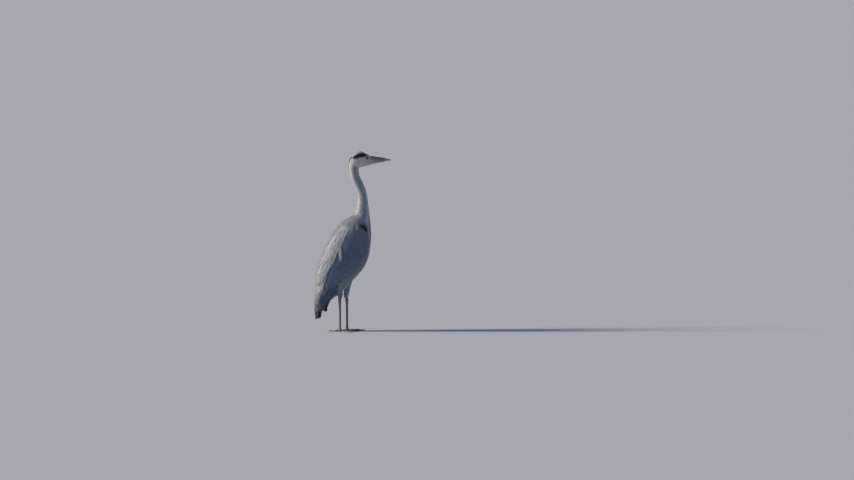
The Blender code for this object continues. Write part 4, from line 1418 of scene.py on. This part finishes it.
class HERON_OT_bill(HeronPiece, bpy.types.Operator):
    """The two mandibles: a ridged culmen with nostril grooves, flat cutting edges and a dusky ridge"""

    bl_idname = "heron.bill"
    bl_label = "Bill"

    def execute(self, context):
        for name, *form in (
            ("upper", 1, CULMEN_RISE, CULMEN_BASE_X, 0.70, 0.0100),
            ("lower", -1, CHIN_DROP, CHIN_BASE_X, 0.90, 0.0093),
        ):
            piece = self.mandible(name, *form)
            paint_points(piece, self.tints)
            # Bill horn, smooth but dry: a broad dull sheen, clouded every 2.4 mm by uneven growth.
            horn = bare_surface(
                f"bill_horn_{name}", scale=420.0, depth=0.00006, roughness=0.58, coat=0.04,
                mottle=(0.90, 1.06),
            )
            finish(piece, horn, f"bill_{name}", slot="bill")
        return {"FINISHED"}

    def mandible(self, name, way, rise, base_x, power, half_width):
        tip_x, tip_z = BILL_TIP
        gape_x = mix(CULMEN_BASE_X, CHIN_BASE_X, CULMEN_RISE / (CULMEN_RISE + CHIN_DROP))
        rings = []
        for x in np.concatenate([np.linspace(0.080, 0.188, 60), [0.1905, 0.1925, 0.1938]]):
            ridge, edge = (min(max((x - start) / (tip_x - start), 0), 1) for start in (base_x, gape_x))
            height = rise * (1 - ridge) ** power + 0.0006
            width = half_width * (1 - edge) ** 0.9 + 0.0005 * half_width / 0.0100
            rings.append(((x + SHIFT_X, 0, mix(BILL_GAPE_Z, tip_z, edge)), height, width))
        piece = grow(f"bill_{name}_dressed", rings, sides=32, lengthways=True)
        slope = (tip_z - BILL_GAPE_Z) / (tip_x - gape_x)
        bisect_off(piece, (tip_x + SHIFT_X, 0, tip_z + way * 0.00003), (-slope * way, 0, way))
        self.groove(piece, way)
        apply_all(piece)
        return piece

    def groove(self, piece, way):
        """A shallow groove along each side, and the nostril's slit at its root."""
        upper, lower = (0.100, 0.8705, 0.8600, 0.085), (0.120, 0.8535, 0.8575, 0.06)
        start, root_z, end_z, run = upper if way > 0 else lower
        for vertex in piece.data.vertices:
            x, y, z = vertex.co
            x -= SHIFT_X
            middle = mix(root_z, end_z, min(max((x - start) / run, 0), 1))
            reach = max(0.0, 1 - (x - 0.100) / 0.070) if x > 0.100 else 0.0
            depth = 0.00055 * reach * bell(z, middle, 0.0014)
            if way > 0:
                depth += 0.0012 * bell(z, NOSTRIL[1], 0.0010) * bell(x, NOSTRIL[0], 0.0048)
            vertex.co.y -= np.sign(y) * min(depth, abs(y) * 0.5)

    def tints(self, places):
        x, z = places[:, 0] - SHIFT_X, places[:, 2]
        height = z - mix(BILL_GAPE_Z, BILL_TIP[1], ((x - 0.109) / 0.085).clip(0, 1))
        tint = blend(plain("bill_side", len(x)), "bill_tip", ease(0.150, 0.178, x))
        tint = blend(tint, "bill_root", ease(0.152, 0.118, x))
        # The ridge is bluer towards its root.
        blue = paint("bill_ridge") * [0.95, 1.22, 1.55]
        ridge = mix(paint("bill_ridge"), blue, ease(0.150, 0.105, x)[:, None])
        tint = blend(tint, ridge, ease(0.0005, 0.0060, height) * ease(0.184, 0.158, x))
        # Painted shade: the nostril's slit is painted black.
        return blend(tint, "black", bell(z, NOSTRIL[1], 0.0009) * bell(x, NOSTRIL[0], 0.0045))


class HERON_OT_eyes(HeronPiece, bpy.types.Operator):
    """Two wet eyeballs with a clear bulge over yellow iris and black pupil, and the bare lids and lores"""

    bl_idname = "heron.eyes"
    bl_label = "Eyes and lids"

    def execute(self, context):
        for side, word in SIDES:
            self.eyeball(side, word)
        self.lids()
        self.lores()
        return {"FINISHED"}

    def lores(self):
        """The bare skin from the eye to the bill, with the dark line of the gape through it."""
        t, angle = net((19.9, 22.99), 60, (46, 140), 60)
        spot = COAT.point(t, angle).reshape(-1, 3) - [SHIFT_X, 0, 0]
        bare = in_band(BARE_SKIN, spot[:, 0], spot[:, 2], 0.0016).reshape(t.shape)
        height = mix(-0.0019, -0.0002, bare)[..., None]
        piece = mat("bare_face", COAT, [(t, angle), (t, -angle)], height, "bare_skin")
        paint_points(piece, self.face_tints)
        # Bare skin of the face, finely wrinkled every 0.6 mm: dull, with some life in its tone.
        finish(piece, bare_surface("face_skin", scale=1600.0, depth=0.00008, roughness=0.55), slot="bill")

    def face_tints(self, places):
        x, z = places[:, 0] - SHIFT_X, places[:, 2]
        tint = blend(plain("white", len(x)) * 0.7, "bare_skin", in_band(BARE_SKIN, x, z, 0.0008))
        tint = blend(tint, "bill_root", ease(0.094, 0.104, x))
        return blend(tint, paint("bill_ridge") * 0.4, in_band(GAPE_LINE, x, z, 0.0005))

    def seat(self):
        """The left side of the face as points, the one over the eye, and the directions from there: out of
        the face, ahead across it and up across it."""
        t, angle = (grid.ravel() for grid in net((19.5, 22.9), 200, (44, 140), 200))
        face = COAT.point(t, angle)
        nearest = np.argmin(np.hypot(face[:, 0] - SHIFT_X - EYE.x, face[:, 2] - EYE.z))
        out = COAT.axes(t[[nearest]], angle[[nearest]])[0][0]
        ahead = np.cross(out, (0, 0, 1))
        ahead = ahead / norm(ahead)
        return face, face[nearest], out, ahead, np.cross(ahead, out)

    def eyeball(self, side, word):
        _, over, out, _, _ = self.seat()
        radius, mirror = sizes().eyeball, np.array([1, side, 1])
        centre, out = (over - out * (radius - EYE_BULGE)) * mirror, out * mirror
        make_active(None)
        bpy.ops.mesh.primitive_uv_sphere_add(
            segments=48, ring_count=32, radius=radius, location=centre, rotation=(-side * pi / 2, 0, 0)
        )
        ball = bpy.context.view_layer.objects.active
        ball.name = ball.data.name = f"eyeball_{word}"
        bpy.ops.object.transform_apply()
        for vertex in ball.data.vertices:
            outward = (np.array(vertex.co) - centre) @ out / radius
            vertex.co += Vector(out) * 0.0005 * float(ease(0.80, 1.0, outward))
        apply_all(ball)
        finish(ball, self.eye_material(word, centre, out), f"eye_{word}", slot="eye")

    def eye_material(self, word, centre, out):
        """A wet cornea: a sharp clear gloss over a yellow iris with fine spokes, a dark rim and the pupil, so
        that the eye looks alive and deep. The spokes are about 0.7 mm apart, coarser than real ones."""
        tree, shader, made = material(f"wet_eye_{word}")
        set_inputs(shader, Roughness=0.08, Coat_Weight=1.0, Coat_Roughness=0.02)
        place = add_node(tree, "TexCoord")
        to_centre = {"operation": "SUBTRACT", "1": tuple(centre)}
        centred = add_node(tree, "VectorMath", to_centre, _0=place.outputs["Object"])
        off_axis = {"operation": "CROSS_PRODUCT", "1": tuple(out)}
        across = add_node(tree, "VectorMath", off_axis, _0=centred)
        away = add_node(tree, "VectorMath", {"operation": "LENGTH"}, _0=across)
        spokes = add_node(tree, "TexNoise", {"Scale": 1400.0, "Detail": 2.0}, Vector=across)
        wobble_by = {"operation": "MULTIPLY_ADD", "1": 0.0005}
        wobble = add_node(tree, "Math", wobble_by, _0=spokes, _2=away.outputs["Value"])
        # The bands of colour are shares of 7 mm from the middle of the eye.
        radius = add_node(tree, "MapRange", {"1": 0.0, "2": 0.0070}, Value=wobble)
        ramp = add_node(tree, "ValToRGB", Fac=radius)
        iris, dark = paint("iris"), paint("pupil")
        stops = (
            (0.0, dark), (0.49, dark), (0.53, iris), (0.64, iris * 0.80), (0.71, iris * 0.25), (0.75, dark)
        )
        bands = ramp.color_ramp.elements
        while len(bands) < len(stops):
            bands.new(1.0)
        for band, (stop, tint) in zip(bands, stops):
            band.position = stop
            band.color = (*tint, 1)
        feed(tree, shader, Base_Color=ramp)
        return made

    def lids(self):
        """Soft rims that rise from the face onto each eyeball and tuck in behind its edge."""
        face, over, out, ahead, up = self.seat()
        nearest = nearest_of([(place @ ahead, place @ up, 0) for place in face - over])
        count, radii = 48, (0.0082, 0.0071, 0.0063, 0.0057, 0.0052, 0.0049)
        turn = np.linspace(0, 2 * pi, count, endpoint=False)
        rings = []
        for k, radius in enumerate(radii):
            level, rise = radius * np.cos(turn) * 1.04, radius * np.sin(turn) * 0.95
            skin = np.array([(face[nearest((a, b, 0))] - over) @ out for a, b in zip(level, rise)])
            ball = np.sqrt(sizes().eyeball**2 - level**2 - rise**2) - sizes().eyeball + EYE_BULGE
            top = mix(skin, ball, 0.5) + 0.0004
            height = (skin - 0.0016, skin - 0.0006, top, ball + 0.0007, ball + 0.0006, ball - 0.0002)[k]
            rings.append(over + level[:, None] * ahead + rise[:, None] * up + height[:, None] * out)
        outer = np.stack(rings)
        verts = np.concatenate([outer, (outer - out * 0.0014)[::-1]]).reshape(-1, 3)
        index = np.arange(len(verts)).reshape(-1, count)
        down, across = np.roll(index, -1, 0), np.roll(index, -1, 1)
        quads = np.stack([index, across, np.roll(down, -1, 1), down], -1).reshape(-1, 4)
        both = np.concatenate([verts, verts * [1, -1, 1]])
        lids = mesh_piece("eyelids", both, np.concatenate([quads, quads[:, ::-1] + len(verts)]))
        apply_all(lids)
        paint_points(lids, self.lid_tints)
        # Bare skin of the lids, wrinkled every 0.6 mm: dull, so that the wet eye stands out in it.
        finish(lids, bare_surface("lid_skin", scale=1800.0, depth=0.00008, roughness=0.55), slot="bill")

    def lid_tints(self, places):
        """Dusky at the rim of the eye, paler where the face begins."""
        away = np.hypot(places[:, 0] - SHIFT_X - EYE.x, places[:, 2] - EYE.z)
        dusky = plain("bill_ridge", len(away)) * 0.45
        return blend(dusky, paint("bare_skin") * 0.8, ease(0.0056, 0.0068, away))


# ---------------------------------------------------------------- stage, camera and light

class HERON_OT_stage(HeronPiece, bpy.types.Operator):
    """A plain pale floor, soft light from behind and cool light from all round, and the camera"""

    bl_idname = "heron.stage"
    bl_label = "Stage"
    distance, elevation = 36.0, radians(4.0)
    frame_width = 4.27  # metres across the view at the bird
    sensor = 36.0
    target = Vector((0.3715 + SHIFT_X, 0.0, 0.4575))
    low_sky, high_sky = (0.12, 0.17, 0.26, 1), (0.055, 0.11, 0.215, 1)

    def execute(self, context):
        make_active(None)
        bpy.ops.mesh.primitive_circle_add(vertices=96, radius=220.0, fill_type="NGON", location=(0, 0, 0))
        floor = context.view_layer.objects.active
        floor.name = floor.data.name = "floor"
        # Matt plaster: an even ground without gloss, which only takes the bird's soft shadow.
        _, shader, made = material("matt_plaster_floor")
        set_inputs(shader, Base_Color=(*paint("floor"), 1), Roughness=0.9)
        floor.data.materials.append(made)
        self.sky(context)
        self.sun(context)
        self.camera(context)
        return {"FINISHED"}

    def sky(self, context):
        world = bpy.data.worlds.new("studio")
        world.use_nodes = True
        tree = world.node_tree
        place = add_node(tree, "TexCoord")
        height = add_node(tree, "SeparateXYZ", Vector=place.outputs["Generated"])
        ramp = add_node(tree, "ValToRGB", Fac=height.outputs["Z"])
        for band, stop, tint in zip(ramp.color_ramp.elements, (0.02, 0.10), (self.low_sky, self.high_sky)):
            band.position = stop
            band.color = tint
        feed(tree, tree.nodes["Background"], Color=ramp)
        context.scene.world = world
        context.scene.view_settings.view_transform = "Standard"

    def sun(self, context):
        light = bpy.data.lights.new("key", "SUN")
        light.energy = 3.6
        light.angle = radians(10)
        light.color = (1.0, 0.90, 0.79)
        key = bpy.data.objects.new("key", light)
        context.scene.collection.objects.link(key)
        key.rotation_euler = Vector((-0.97, -0.06, 0.43)).to_track_quat("Z", "Y").to_euler()

    def camera(self, context):
        lens = bpy.data.cameras.new("camera")
        lens.sensor_width = self.sensor
        lens.lens = self.sensor * self.distance / self.frame_width
        lens.clip_start = 1.0
        lens.clip_end = 600.0
        camera = bpy.data.objects.new("camera", lens)
        context.scene.collection.objects.link(camera)
        back = Vector((0, -cos(self.elevation), sin(self.elevation)))
        camera.location = self.target + back * self.distance
        camera.rotation_euler = back.to_track_quat("Z", "Y").to_euler()
        context.scene.camera = camera


# ---------------------------------------------------------------- the panel, and the run

PIECES = (
    HERON_OT_skin, HERON_OT_head, HERON_OT_crest, HERON_OT_neck, HERON_OT_breast_plumes, HERON_OT_body,
    HERON_OT_mantle, HERON_OT_shoulder_plumes, HERON_OT_coverts, HERON_OT_flight, HERON_OT_tail,
    HERON_OT_thighs, HERON_OT_legs, HERON_OT_claws, HERON_OT_bill, HERON_OT_eyes, HERON_OT_stage,
)


class HERON_PT_panel(bpy.types.Panel):
    """Lists the heron's sizes, colours and pieces"""

    bl_idname = "HERON_PT_panel"
    bl_label = "Grey Heron"
    bl_space_type = "VIEW_3D"
    bl_region_type = "UI"
    bl_category = "Heron"

    def draw(self, context):
        for group in (context.scene.heron_sizes, context.scene.heron_colours):
            for name in group.__annotations__:
                self.layout.prop(group, name)
        for piece in PIECES:
            self.layout.operator(piece.bl_idname)


CLASSES = (HeronSizes, HeronColours, *PIECES, HERON_PT_panel)


def register():
    for kind in CLASSES:
        bpy.utils.register_class(kind)
    bpy.types.Scene.heron_sizes = PointerProperty(type=HeronSizes)
    bpy.types.Scene.heron_colours = PointerProperty(type=HeronColours)


def unregister():
    del bpy.types.Scene.heron_colours
    del bpy.types.Scene.heron_sizes
    for kind in reversed(CLASSES):
        bpy.utils.unregister_class(kind)


def main():
    register()
    for piece in PIECES:
        group, name = piece.bl_idname.split(".")
        getattr(getattr(bpy.ops, group), name)()


if __name__ == "__main__":
    main()
